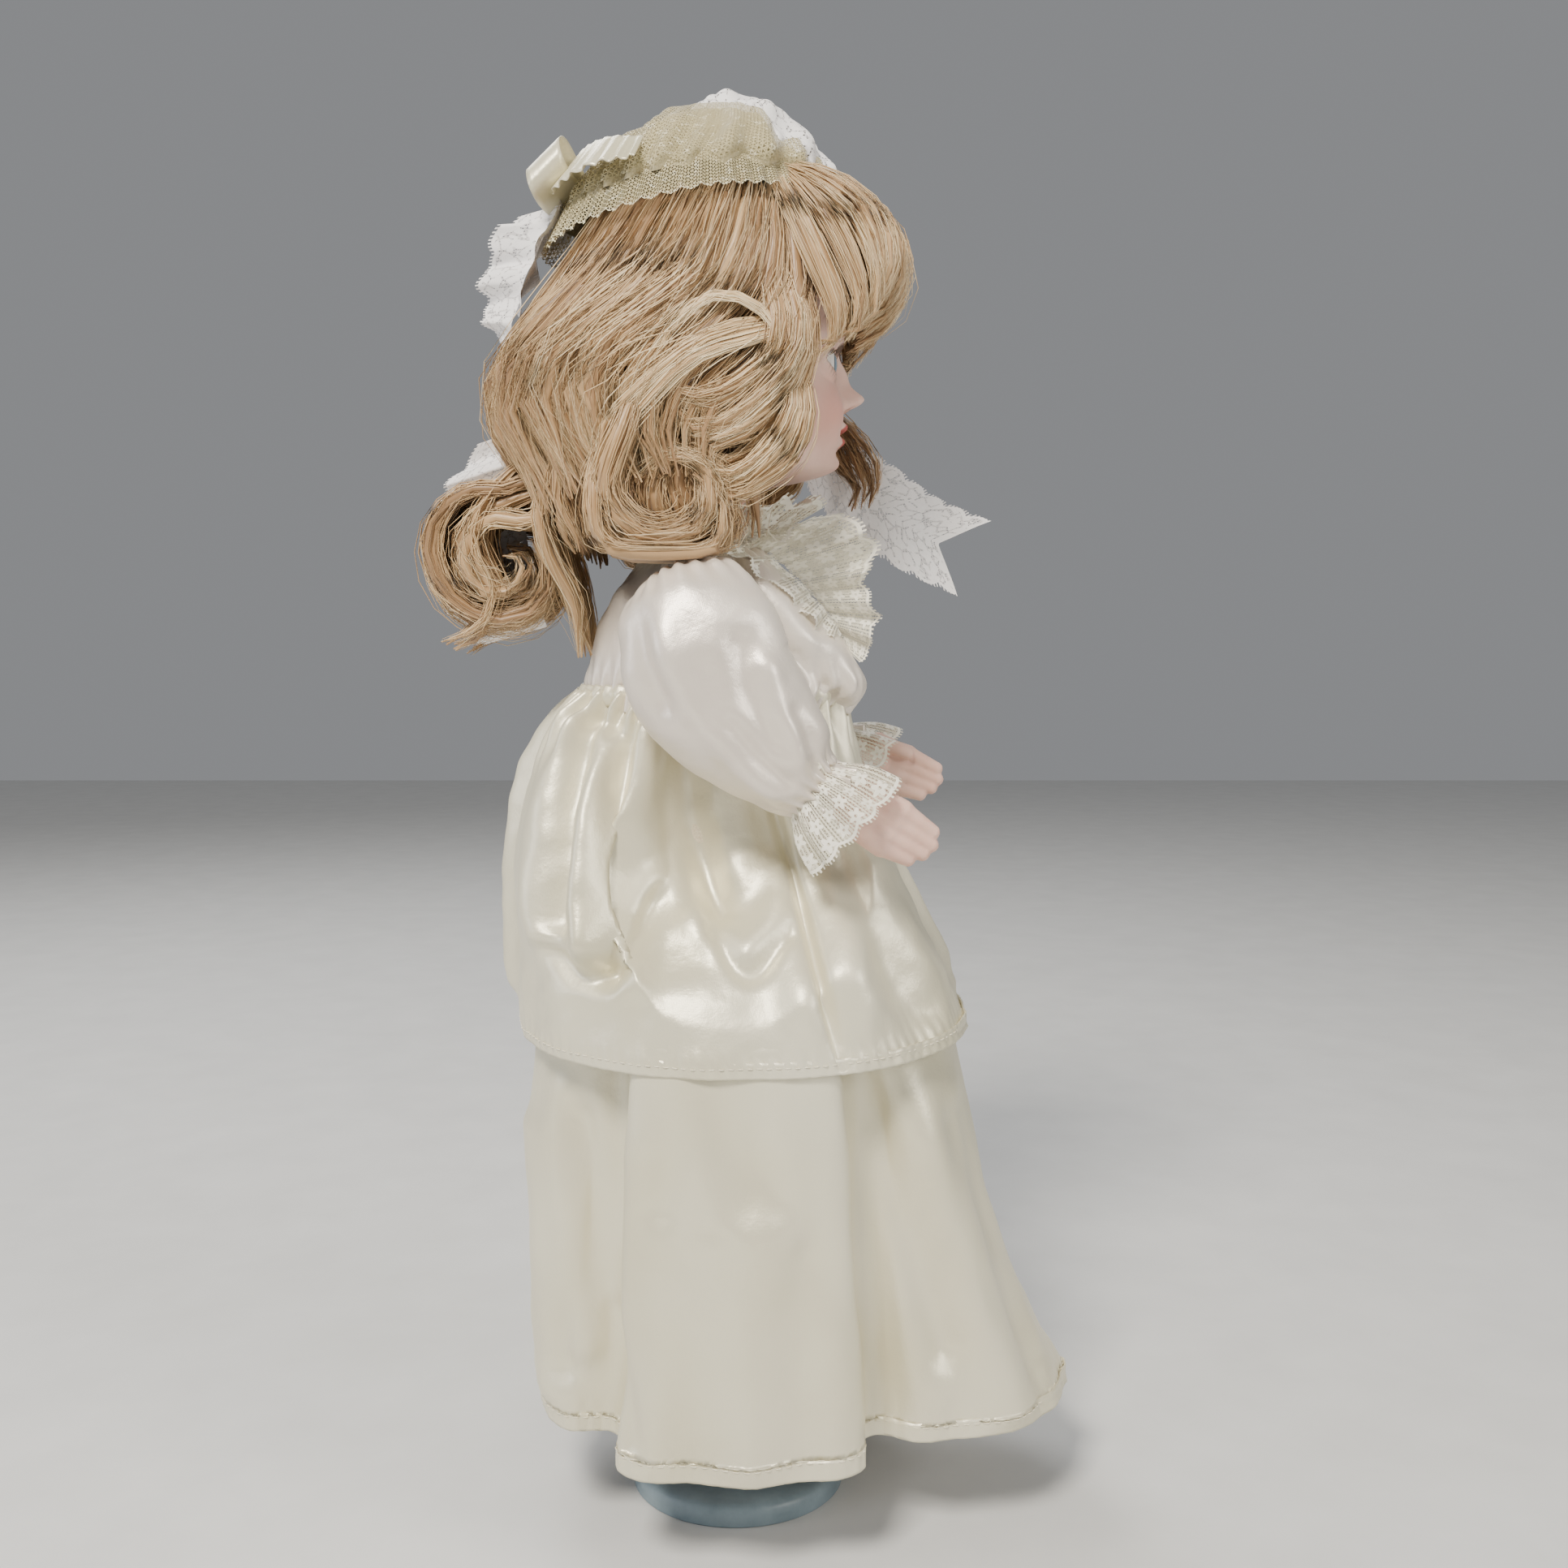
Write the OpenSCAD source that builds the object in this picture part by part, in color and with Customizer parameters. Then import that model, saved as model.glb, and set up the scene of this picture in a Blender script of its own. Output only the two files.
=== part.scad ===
// Standing porcelain doll in a two-tier satin dress on a round saddle stand.
// Origin: centre of the stand base's underside. +Z up, the doll faces -Y, its right hand is at -X.

/* [Stand] */
// Radius of the round base
base_r = 33; // [30:1:38]
// Thickness of the base
base_h = 7; // [6:0.5:8]
// Outer radius of the fixed tube
tube_r = 4; // [3.6:0.1:4.2]
// Radius of the sliding rod
rod_r = 2.6; // [2:0.1:2.8]

/* [Doll] */
// Width of the porcelain head
head_w = 66; // [64:1:68]
// Distance of each arm from the middle
arm_x = 48; // [48:0.5:50]
// Distance of each leg from the middle
leg_x = 16; // [16:0.5:17]
// Angle that the left arm is raised at rest
left_arm_lift = 10; // [0:1:12]

/* [Dress] */
// Height of the lower hem above the table
hem_z = 32; // [28:1:36]
// Height of the overskirt's hem
over_hem_z = 144; // [140:1:148]
// Half width of the lower skirt at the hem
skirt_w = 70; // [66:1:74]
// Wall of a cloth piece
cloth = 1.2; // [1:0.1:1.4]
// Depth of the folds at the lower hem
fold = 3; // [0:0.5:4]

/* [Hidden] */
post_y = 8;                 // the rod, the neck and the hips share this line
collar_z = 82;              // underside of the collar at the tube's top
collar_h = 10;
rod_top = 193;              // the saddle plate sits on the rod here
shoulder_z = 268;           // axis of both shoulders
hip_z = 186;                // axis of both hips
sole_z = 11;                // the soles hang just above the base
head_k = head_w / 66;
n_side = 30;                // sides of a lofted piece
n_skirt = 60;               // sides of a skirt, enough for its folds
folds = 12;

// ---- lofts: each ring is [x, y, z, half width, half depth] ----

// Turn of ring i about X, so that it stands square to the path through its neighbours.
function tilt(r, i) =
    let (a = r[max(i - 1, 0)], b = r[min(i + 1, len(r) - 1)])
    atan2(a[1] - b[1], b[2] - a[2]);
function ring_points(q, a, n, wave, grow) = [
    for (k = [0 : n - 1])
        let (t = 360 * k / n, w = wave * cos(folds * t) + grow)
        [q[0] + (q[3] + w) * cos(t),
         q[1] + (q[4] + w) * sin(t) * cos(a),
         q[2] + (q[4] + w) * sin(t) * sin(a)]
];
// Quads between ring row a and ring row b of n points each.
function band(a, b, n) = [
    for (k = [0 : n - 1])
        let (j = (k + 1) % n)
        each [[a * n + k, b * n + k, b * n + j], [a * n + k, b * n + j, a * n + j]]
];
// A closed solid through the rings, level or square to their path.
module loft(r, n = n_side, grow = 0, along = false) {
    m = len(r);
    polyhedron(
        points = [for (i = [0 : m - 1]) each ring_points(r[i], along ? tilt(r, i) : 0, n, 0, grow)],
        faces = [
            for (i = [0 : m - 2]) each band(i, i + 1, n),
            [for (k = [0 : n - 1]) k],
            [for (k = [0 : n - 1]) m * n - 1 - k]
        ]
    );
}
// An open-ended wall through the rings. The sixth number of a ring is its fold depth.
module wall(r, thick, n = n_side, along = false) {
    m = len(r);
    function depth(q) = len(q) > 5 ? q[5] : 0;
    function row(i, g) = ring_points(r[i], along ? tilt(r, i) : 0, n, depth(r[i]), g);
    polyhedron(
        points = [
            for (i = [0 : m - 1]) each row(i, 0),
            for (i = [0 : m - 1]) each row(m - 1 - i, -thick)
        ],
        faces = [for (i = [0 : 2 * m - 1]) each band(i, (i + 1) % (2 * m), n)]
    );
}
// Both sides: side is -1 for the doll's right and 1 for its left.
module on_side(side) {
    scale_x = side < 0 ? 0 : 1;
    mirror([scale_x, 0, 0]) children();
}
// A left arm piece is the right one mirrored and raised at the shoulder.
module arm_side(side) {
    raise = side < 0 ? 0 : -left_arm_lift;
    translate([0, post_y, shoulder_z]) rotate([raise, 0, 0]) translate([0, -post_y, -shoulder_z])
        on_side(side) children();
}

// ---- stand ----

module stand_base() {
    edge = 2.5;
    color("#7C8B92") difference() {
        rotate_extrude($fn = 96) union() {
            square([base_r - edge, base_h]);
            square([base_r, base_h - edge]);
            translate([base_r - edge, base_h - edge]) circle(r = edge, $fn = 32);
        }
        translate([0, post_y, 2]) cylinder(r = tube_r + 0.05, h = base_h, $fn = 48);
    }
}
module stand_tube() {
    color("silver") difference() {
        translate([0, post_y, 2]) cylinder(r = tube_r, h = collar_z + collar_h - 2, $fn = 48);
        translate([0, post_y, 4]) cylinder(r = rod_r + 0.1, h = collar_z + collar_h, $fn = 48);
        screw_hole();
    }
}
module screw_hole() {
    translate([0, post_y, collar_z + collar_h / 2]) rotate([-90, 0, 0])
        cylinder(r = 1.55, h = 20, $fn = 32);
}
module stand_collar() {
    color("silver") difference() {
        translate([0, post_y, collar_z]) cylinder(r = tube_r + 1.6, h = collar_h, $fn = 48);
        translate([0, post_y, collar_z - 1]) cylinder(r = tube_r + 0.05, h = collar_h + 2, $fn = 48);
        screw_hole();
    }
}
module stand_screw() {
    color("silver") translate([0, post_y, collar_z + collar_h / 2]) rotate([-90, 0, 0]) {
        translate([0, 0, rod_r + 0.15]) cylinder(r = 1.5, h = 12, $fn = 32);
        translate([0, 0, rod_r + 10]) cylinder(r = 4.2, h = 4, $fn = 48);
    }
}

// ---- doll body ----

module stand_rod() {
    color("silver") translate([0, post_y, base_h + 3])
        cylinder(r = rod_r, h = rod_top - base_h - 3, $fn = 48);
}
// A plate under the crotch with an upright in front and one behind.
module stand_saddle() {
    reach = 27;
    color("silver") {
        difference() {
            translate([-4.5, post_y - reach, rod_top - 2]) cube([9, 2 * reach, 4.5]);
            translate([0, post_y, rod_top - 3]) cylinder(r = rod_r + 0.02, h = 3, $fn = 48);
        }
        for (y = [-reach - 2, reach])
            translate([-4.5, post_y + y, rod_top - 2]) cube([9, 2, 20]);
    }
}
module torso() {
    color("#E6D8C3") loft([
        [0, 8, 196, 23, 20], [0, 8, 203, 25, 24], [0, 8, 214, 25, 24.5], [0, 8, 232, 23, 23],
        [0, 8, 250, 24, 22], [0, 7, 262, 23, 21], [0, 7, 270, 17, 15]
    ]);
}
module shoulder_plate() {
    color("#CDA596") wall([
        [0, 7, 256, 29, 26], [0, 7, 268, 30, 27], [0, 7, 277, 27, 24],
        [0, 8, 284, 20, 19], [0, 8, 289, 15.4, 15.4], [0, 8, 294, 15, 15]
    ], 2.6);
}
module neck_washer() {
    color("white") difference() {
        translate([0, post_y, 283]) cylinder(r = 17.5, h = 2.5, $fn = 48);
        translate([0, post_y, 282]) cylinder(r = 2.4, h = 5, $fn = 32);
    }
}
module bodice() {
    color("#CDC8B4") wall([
        [0, 8, 240, 29, 33], [0, 8, 248, 30.4, 37], [0, 6, 258, 31, 37],
        [0, 4, 268, 31, 34], [0, 4, 278, 29, 29], [0, 6, 285, 24, 23], [0, 7, 289, 18.5, 18.5]
    ], cloth);
}
module back_snaps() {
    snap_y = [45.2, 41.2];
    for (i = [0, 1])
        color("silver") translate([0, snap_y[i], 248 + 14 * i]) rotate([-90, 0, 0])
            cylinder(r = 3, h = 1.5, $fn = 32);
}
module waistband() {
    color("#CDC8B4") wall([[0, 8, 234, 28.6, 32.6], [0, 8, 239.8, 28.8, 32.8]], 2);
}
module overskirt() {
    color("#CDC8B4") wall([
        [0, -2, over_hem_z, 65, 69, 0.8], [0, 0, 161, 62, 67, 0.8], [0, 5, 184, 57, 61, 0.6],
        [0, 10, 198, 49, 56, 0.5], [0, 10, 210, 37, 50, 0.4], [0, 10, 218, 31.5, 46, 0.3],
        [0, 10, 228, 30.2, 41, 0], [0, 9, 239, 30.2, 37, 0]
    ], cloth, n_skirt);
}
module lower_skirt() {
    color("#CDC8B4") wall([
        [0, -21.5, hem_z, skirt_w - fold, 82.5 - fold, fold],
        [0, -21.3, 60, skirt_w - fold, 82.7 - fold, fold],
        [0, -17.8, 81, 66, 78, fold * 0.8], [0, -10.3, 112, 62.5, 71, fold * 0.6],
        [0, -4, 136, 60.5, 66, 0.6], [0, -2, 150, 60, 63.5, 0], [0, 0, 161, 57.5, 62, 0],
        [0, 5, 184, 52.5, 56.5, 0], [0, 9, 198, 44, 50, 0], [0, 9, 210, 32.6, 43, 0],
        [0, 9, 218, 28.6, 39, 0]
    ], cloth, n_skirt);
}
module petticoat() {
    color("white") wall([
        [0, -20, hem_z + 14, skirt_w - 8.5, 72], [0, -17, 81, 59, 70],
        [0, -10, 112, 56.5, 64], [0, -3, 140, 55, 59], [0, 0, 161, 53.5, 57],
        [0, 5, 184, 48, 52], [0, 9, 198, 40.5, 45], [0, 9, 210, 30.2, 38]
    ], cloth);
}
module collar_frill() {
    color("#D7D2BE") wall([
        [0, 6, 290, 19, 19], [0, 2, 298, 20, 23], [0, -4, 309, 22, 28]
    ], cloth);
}
// One curved ruffle hanging down the front from z1 to z0.
module ruffle(z1, z0, out1, out0, half_w) {
    color("#D7D2BE") intersection() {
        wall([[0, 6, z0, 32, out0, 0], [0, 6, (z0 + z1) / 2, 32, (out0 + out1) / 2 + 2.5, 0],
              [0, 6, z1, 32, out1, 0]], 2);
        translate([-half_w, -60, z0 - 1]) cube([2 * half_w, 45, z1 - z0 + 2]);
    }
}
module jabot_upper() { ruffle(302, 283, 37, 49, 19); }
module jabot_lower() { ruffle(281.5, 262, 41, 47, 16); }

// ---- head ----

function skull() = [
    for (q = [
        [0, 1, 314.5, 22, 27], [0, -0.5, 324, 28.5, 33], [0, 1, 335, 31.5, 34],
        [0, 2.5, 348, 33, 35.5], [0, 3, 362, 32.5, 35.5], [0, 5, 378, 27, 30.5],
        [0, 6, 388, 18, 21], [0, 6, 393, 8, 10]
    ]) [q[0], q[1], q[2], q[3] * head_k, q[4]]
];
crown_z = 378;              // the porcelain is cut open above this and closed by the pate
eye_at = [13, -25.5, 343];
eye_r = 7.5;
// Everything above one height, for cutting a dome.
module above(z) { translate([-100, -100, z]) cube([200, 200, 200]); }

module head_shell() {
    s = skull();
    color("#CDA596") difference() {
        union() {
            wall(concat([[0, 8, 288, 11.5, 11.5], [0, 8, 303, 11.5, 11.5],
                         [0, 5, 309.5, 13.5, 15.5]], [for (i = [0 : 5]) s[i]]), 3);
            translate([0, -33.5, 334]) sphere(r = 4.2, $fn = 32);
        }
        for (side = [-1, 1])
            translate([side * eye_at[0], eye_at[1], eye_at[2]]) sphere(r = eye_r + 0.1, $fn = 48);
    }
}
module head_pate() {
    color("#DDD2C0") difference() {
        intersection() { loft(skull()); above(crown_z + 0.1); }
        loft(skull(), grow = -2.5);
    }
}
module eye(side) {
    color("#6B7A86") translate([side * eye_at[0], eye_at[1], eye_at[2]])
        sphere(r = eye_r, $fn = 48);
}
module right_eye() { eye(-1); }
module left_eye() { eye(1); }
module eyelashes() {
    for (side = [-1, 1])
        color("#3A2A20") translate([side * eye_at[0], -33.2, eye_at[2] + 3.2])
            rotate([20, 0, 0]) cube([11, 4, 0.8], center = true);
}
module neck_bolt() {
    color("silver") translate([0, post_y, 0]) {
        translate([0, 0, 274]) cylinder(r = 2.1, h = 16, $fn = 32);
        translate([0, 0, 287.2]) cylinder(r = 8.5, h = 2.8, $fn = 48);
    }
}
module neck_nut() {
    color("silver") difference() {
        translate([0, post_y, 277]) cylinder(r = 5, h = 4.5, $fn = 6);
        translate([0, post_y, 276]) cylinder(r = 2.1, h = 8, $fn = 32);
    }
}
module wig_cap() {
    color("#B08C64") difference() {
        intersection() { loft(skull(), grow = 1.5); above(364); }
        loft(skull(), grow = 0.3);
        translate([0, 6, 392]) cylinder(r = 6, h = 2, $fn = 32);
    }
}
module hair_crown() {
    color("#AF8C64") difference() {
        union() {
            intersection() { loft(skull(), grow = 9); above(366); }
            translate([0, 6, 392]) cylinder(r = 17, h = 8, $fn = 48);
        }
        loft(skull(), grow = 1.8);
    }
}
// A rolled fringe that stands proud of the forehead.
module hair_bangs() {
    roll = 6.2;
    rise = 11;
    color("#AF8C64") translate([0, 4, 365.5]) rotate([0, 0, 205]) rotate_extrude(angle = 130, $fn = 96)
        translate([43.6, 0]) polygon([for (k = [0 : 23]) [roll * cos(15 * k), rise * sin(15 * k)]]);
}
module hair_right_side() {
    color("#AF8C64") difference() {
        loft([[-36, 16, 284, 4, 10], [-40, 19, 296, 10, 20], [-42, 18, 314, 11, 24],
              [-40, 17, 340, 9, 26], [-36, 16, 365, 8, 24]]);
        loft(skull(), grow = 0.4);
    }
}
module hair_left_side() {
    color("#AF8C64") difference() {
        loft([[37, 0, 292, 4, 18], [39.5, 6, 300, 8, 32], [42, 8, 316, 10, 36],
              [40, 12, 340, 9, 30], [36, 16, 365, 8, 24]]);
        loft(skull(), grow = 0.4);
    }
}
module hair_back() {
    color("#AF8C64") loft([
        [0, 51, 300, 27, 12], [0, 53, 314, 31, 14], [0, 54.5, 332, 32, 15.8],
        [0, 53.5, 350, 31, 15], [0, 49, 372, 26, 10]
    ]);
}
module hair_back_curl() {
    color("#AF8C64") loft([
        [0, 54, 258, 9, 7], [0, 62, 265, 20, 15], [0, 67, 276, 27, 21],
        [0, 68, 288, 29, 23], [0, 66, 299, 25, 19]
    ]);
}
module hat_crown() {
    color("#A0966E") difference() {
        loft([[0, 11, 393, 32, 32], [0, 11, 403, 31, 31], [0, 10.5, 413, 24, 24], [0, 10, 420, 9, 10]]);
        loft(skull(), grow = 9.3);
        translate([0, 6, 391]) cylinder(r = 17.3, h = 9.3, $fn = 48);
    }
}
module hat_brim() {
    color("#CDC8B4") wall([[0, 9, 381, 42, 46.5], [0, 10, 392.5, 36, 39]], 1.6);
}
// A lace ruffle standing over the forehead, leaning back along the crown.
module hat_ruffle() {
    color("#C8C3C3") intersection() {
        wall([[0, 9, 393.2, 36, 36], [0, 9.5, 404, 35, 35], [0, 10, 416, 27, 27]], 1.6);
        translate([-50, -60, 390]) cube([100, 62, 40]);
    }
}
// Two flat ribbon loops and their knot.
module hat_bow() {
    color("#CDC8B4") translate([0, 52, 394]) {
        for (side = [-1, 1])
            translate([side * 11, 0, 0]) rotate([-90, 0, 0]) difference() {
                cylinder(r = 8.5, h = 6, $fn = 48);
                translate([0, 0, -1]) cylinder(r = 7, h = 8, $fn = 48);
            }
        translate([-3, 0.5, -3]) cube([6, 5, 6]);
    }
}
module lace_tail_back() {
    color("#C8C3C3") translate([-16, 0, 0]) rotate([90, 0, 90]) linear_extrude(height = 32)
        polygon([[59, 389], [60.5, 390], [72.5, 374], [74, 350], [72.5, 350], [71, 373.5]]);
}
// The left tail comes forward past the chin and ends in a swallow tail.
module lace_tail_left() {
    color("#C8C3C3") translate([29, 0, 0]) rotate([90, 0, 90]) linear_extrude(height = 1.6)
        polygon([[-14, 333], [-40, 318], [-76, 301], [-66, 293], [-74, 282], [-56, 287],
                 [-38, 298], [-16, 314]]);
}

// ---- arms ----

module upper_arm(side) {
    color("#E6D8C3") arm_side(side) loft([
        [-39, 8, 276, 4, 5], [-41, 9, 270, 7, 9], [-46, 11, 258, 8.5, 10],
        [-arm_x, 10, 248, 8.5, 10], [-arm_x, 4, 238, 8, 9], [-arm_x, -2, 233, 7.5, 8]
    ], along = true);
}
module forearm(side) {
    color("#CDA596") arm_side(side) loft([
        [-arm_x, -2.4, 232.8, 7, 7.5], [-arm_x, -12, 229, 7, 7.5], [-46, -22, 225.5, 5.6, 6.2],
        [-45, -30, 221, 5.2, 6.6], [-44, -38, 215.5, 5.4, 8.6], [-44, -46, 209, 5, 8.4],
        [-44, -53, 203, 3.4, 6], [-44, -56, 200.5, 1.6, 3]
    ], along = true);
}
module arm_tie(side) {
    color("white") arm_side(side) translate([-arm_x, 2.5, 236.2]) rotate([122, 0, 0])
        rotate_extrude($fn = 48) translate([9.6, 0]) circle(r = 0.8, $fn = 16);
}
module sleeve(side) {
    color("#D7CDC3") arm_side(side) wall([
        [-40, 9, 278.5, 6.5, 12], [-44, 10, 270.5, 11, 17], [-47.5, 11, 257, 14.6, 19],
        [-arm_x, 9, 244.5, 15, 19.5], [-arm_x, 0.5, 235, 14.5, 17],
        [-47, -11, 229.5, 12, 12.5], [-46, -19, 226.4, 8.6, 9.2]
    ], cloth, along = true);
}
module cuff(side) {
    color("#D7D2BE") arm_side(side) wall([
        [-46, -19.8, 226, 8.8, 9.4], [-45.5, -26, 222.5, 10.5, 12], [-45.5, -34, 217.5, 12.5, 14.5]
    ], cloth, along = true);
}
module right_upper_arm() { upper_arm(-1); }
module right_forearm() { forearm(-1); }
module right_arm_tie() { arm_tie(-1); }
module right_sleeve() { sleeve(-1); }
module right_cuff() { cuff(-1); }
module left_upper_arm() { upper_arm(1); }
module left_forearm() { forearm(1); }
module left_arm_tie() { arm_tie(1); }
module left_sleeve() { sleeve(1); }
module left_cuff() { cuff(1); }

// ---- legs ----

module leg_loft(side, r, grow = 0) {
    translate([side * leg_x, post_y, 0]) loft(r, grow = grow);
}
module upper_leg(side) {
    color("#E6D8C3") {
        translate([side * leg_x, post_y, hip_z]) sphere(r = 9, $fn = 48);
        translate([side * leg_x, post_y, 104.2]) cylinder(r1 = 8, r2 = 9, h = hip_z - 104.2, $fn = 48);
    }
}
function foot() = [
    [0, -10, sole_z + 2.2, 5, 19], [0, -10, sole_z + 7, 5.6, 19.6], [0, -4, sole_z + 13, 5.2, 12],
    [0, 0, sole_z + 20, 5, 6.5]
];
module lower_leg(side) {
    color("#CDA596") leg_loft(side, concat(foot(), [
        [0, 0, 42, 5.2, 5.8], [0, 1, 62, 6.8, 7.6], [0, 1, 78, 7.4, 8.4],
        [0, 0, 92, 7, 7.6], [0, 0, 104, 7.4, 7.4]
    ]));
}
module leg_tie(side) {
    color("white") translate([side * leg_x, post_y, 106]) rotate_extrude($fn = 48)
        translate([8.9, 0]) circle(r = 0.75, $fn = 16);
}
module bloomer(side) {
    color("white") translate([side * leg_x, post_y, 0]) wall([
        [0, 0, 92, 9.4, 10], [0, 0, 97, 10.9, 14], [0, 0, 115, 11, 15],
        [0, 0, 150, 11, 15], [0, 0, 176, 10.8, 13.5]
    ], 1);
}
module sock(side) {
    color("white") leg_loft_wall(side);
}
module leg_loft_wall(side) {
    translate([side * leg_x, post_y, 0]) wall([
        [0, 0, sole_z + 21, 6.3, 8], [0, 0, 42, 6.3, 6.9], [0, 0.6, 56, 7.4, 8.2]
    ], 0.9);
}
module shoe(side) {
    color("white") difference() {
        leg_loft(side, [
            [0, -10.5, sole_z, 6, 20.5], [0, -10.5, sole_z + 2, 7.4, 22.2],
            [0, -10.5, sole_z + 7, 7.4, 22], [0, -5, sole_z + 13, 6.8, 15]
        ]);
        leg_loft(side, foot(), grow = 0.2);
        translate([side * leg_x - 6, post_y - 15, sole_z + 9]) cube([12, 20, 10]);
    }
}
module right_upper_leg() { upper_leg(-1); }
module right_lower_leg() { lower_leg(-1); }
module right_leg_tie() { leg_tie(-1); }
module right_bloomer() { bloomer(-1); }
module right_sock() { sock(-1); }
module right_shoe() { shoe(-1); }
module left_upper_leg() { upper_leg(1); }
module left_lower_leg() { lower_leg(1); }
module left_leg_tie() { leg_tie(1); }
module left_bloomer() { bloomer(1); }
module left_sock() { sock(1); }
module left_shoe() { shoe(1); }

stand_base();
stand_tube();
stand_collar();
stand_screw();
stand_rod();
stand_saddle();
torso();
shoulder_plate();
neck_washer();
bodice();
back_snaps();
waistband();
overskirt();
lower_skirt();
petticoat();
collar_frill();
jabot_upper();
jabot_lower();
head_shell();
head_pate();
right_eye();
left_eye();
eyelashes();
neck_bolt();
neck_nut();
wig_cap();
hair_crown();
hair_bangs();
hair_right_side();
hair_left_side();
hair_back();
hair_back_curl();
hat_crown();
hat_brim();
hat_ruffle();
hat_bow();
lace_tail_back();
lace_tail_left();
right_upper_arm();
right_forearm();
right_arm_tie();
right_sleeve();
right_cuff();
left_upper_arm();
left_forearm();
left_arm_tie();
left_sleeve();
left_cuff();
right_upper_leg();
right_lower_leg();
right_leg_tie();
right_bloomer();
right_sock();
right_shoe();
left_upper_leg();
left_lower_leg();
left_leg_tie();
left_bloomer();
left_sock();
left_shoe();
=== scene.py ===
import math
import bpy
import numpy as np
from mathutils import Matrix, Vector, noise


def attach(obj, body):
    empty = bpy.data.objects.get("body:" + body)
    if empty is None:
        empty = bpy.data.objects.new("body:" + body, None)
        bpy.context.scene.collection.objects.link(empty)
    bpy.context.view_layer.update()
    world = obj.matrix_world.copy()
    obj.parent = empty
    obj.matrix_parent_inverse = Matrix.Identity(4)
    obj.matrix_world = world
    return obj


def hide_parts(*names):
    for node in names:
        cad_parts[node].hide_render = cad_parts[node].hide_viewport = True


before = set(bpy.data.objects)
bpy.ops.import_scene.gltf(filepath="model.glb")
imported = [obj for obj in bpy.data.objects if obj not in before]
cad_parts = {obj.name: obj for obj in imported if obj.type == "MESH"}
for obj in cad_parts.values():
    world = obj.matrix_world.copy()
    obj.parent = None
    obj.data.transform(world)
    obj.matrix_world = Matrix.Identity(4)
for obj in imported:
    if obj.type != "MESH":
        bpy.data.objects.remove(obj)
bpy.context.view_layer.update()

MM = 0.001
SIDES = {"right": -1, "left": 1}
MATH = "ShaderNodeMath"
# machine lace, in millimetres
NET_PITCH, FLOWER_PITCH, FLOWER_ROW, SCALLOP_PITCH, TOOTH_PITCH = 0.95, 11.0, 12.0, 8.0, 1.05


# ---------------------------------------------------------------- camera, floor and light

def add_camera():
    """The doll stands side on, seen from its right, a little from above."""
    height, back, forward = 0.258, 0.500, -0.0145
    tilt = math.radians(5)
    bpy.ops.object.camera_add(location=(-back, forward, height),
            rotation=(math.radians(90) - tilt, 0, math.radians(-90)))
    camera = bpy.context.object
    camera.data.lens = 37.6
    camera.data.sensor_width = 36
    camera.data.shift_y = 0.012
    camera.data.clip_start = 0.01
    bpy.context.scene.camera = camera


def deselect():
    bpy.ops.object.select_all(action="DESELECT")


def select_only(piece):
    deselect()
    piece.select_set(True)
    bpy.context.view_layer.objects.active = piece


def bake_place(piece):
    """Puts an object's place into its mesh, so that the object itself sits at the origin."""
    select_only(piece)
    bpy.ops.object.transform_apply(location=True, rotation=True, scale=True)


def apply_modifiers(piece):
    select_only(piece)
    for modifier in list(piece.modifiers):
        bpy.ops.object.modifier_apply(modifier=modifier.name)


def linear(code):
    """An sRGB hex value as linear colour with full alpha."""
    values = [int(code[i:i + 2], 16) / 255 for i in (0, 2, 4)]
    return tuple(v / 12.92 if v <= 0.04045 else ((v + 0.055) / 1.055) ** 2.4 for v in values) + (1,)


def add(tree, kind, links=None, stops=None, **settings):
    """Adds one node. links gives each input a value, another node, or one of its outputs."""
    node = tree.nodes.new(kind)
    for key, value in settings.items():
        setattr(node, key, value)
    if stops:
        ramp = node.color_ramp.elements
        while len(ramp) < len(stops):
            ramp.new(0.5)
        for element, (place, colour) in zip(ramp, stops):
            element.position = place
            element.color = linear(colour) if isinstance(colour, str) else (colour, colour, colour, 1)
    for socket, source in (links or {}).items():
        source = source.outputs[0] if isinstance(source, bpy.types.Node) else source
        if isinstance(source, bpy.types.NodeSocket):
            tree.links.new(source, node.inputs[socket])
        else:
            node.inputs[socket].default_value = source
    return node


def finish_named(name, **values):
    """A new material with its Principled shader set. Returns the material, its tree and the shader."""
    material = bpy.data.materials.new(name)
    material.use_nodes = True
    shader = material.node_tree.nodes["Principled BSDF"]
    for socket, value in values.items():
        shader.inputs[socket.replace("_", " ")].default_value = value
    return material, material.node_tree, shader


def object_mm(tree):
    """The piece's own place in millimetres."""
    place = add(tree, "ShaderNodeTexCoord").outputs["Object"]
    return add(tree, "ShaderNodeVectorMath", {0: place, 1: (1000,) * 3}, operation="MULTIPLY").outputs[0]


def cloth_mm(tree):
    """The place along the piece's own cloth in millimetres, from its UV map."""
    place = add(tree, "ShaderNodeTexCoord").outputs["UV"]
    return add(tree, "ShaderNodeVectorMath", {0: place, 1: (1000,) * 3}, operation="MULTIPLY").outputs[0]


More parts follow.
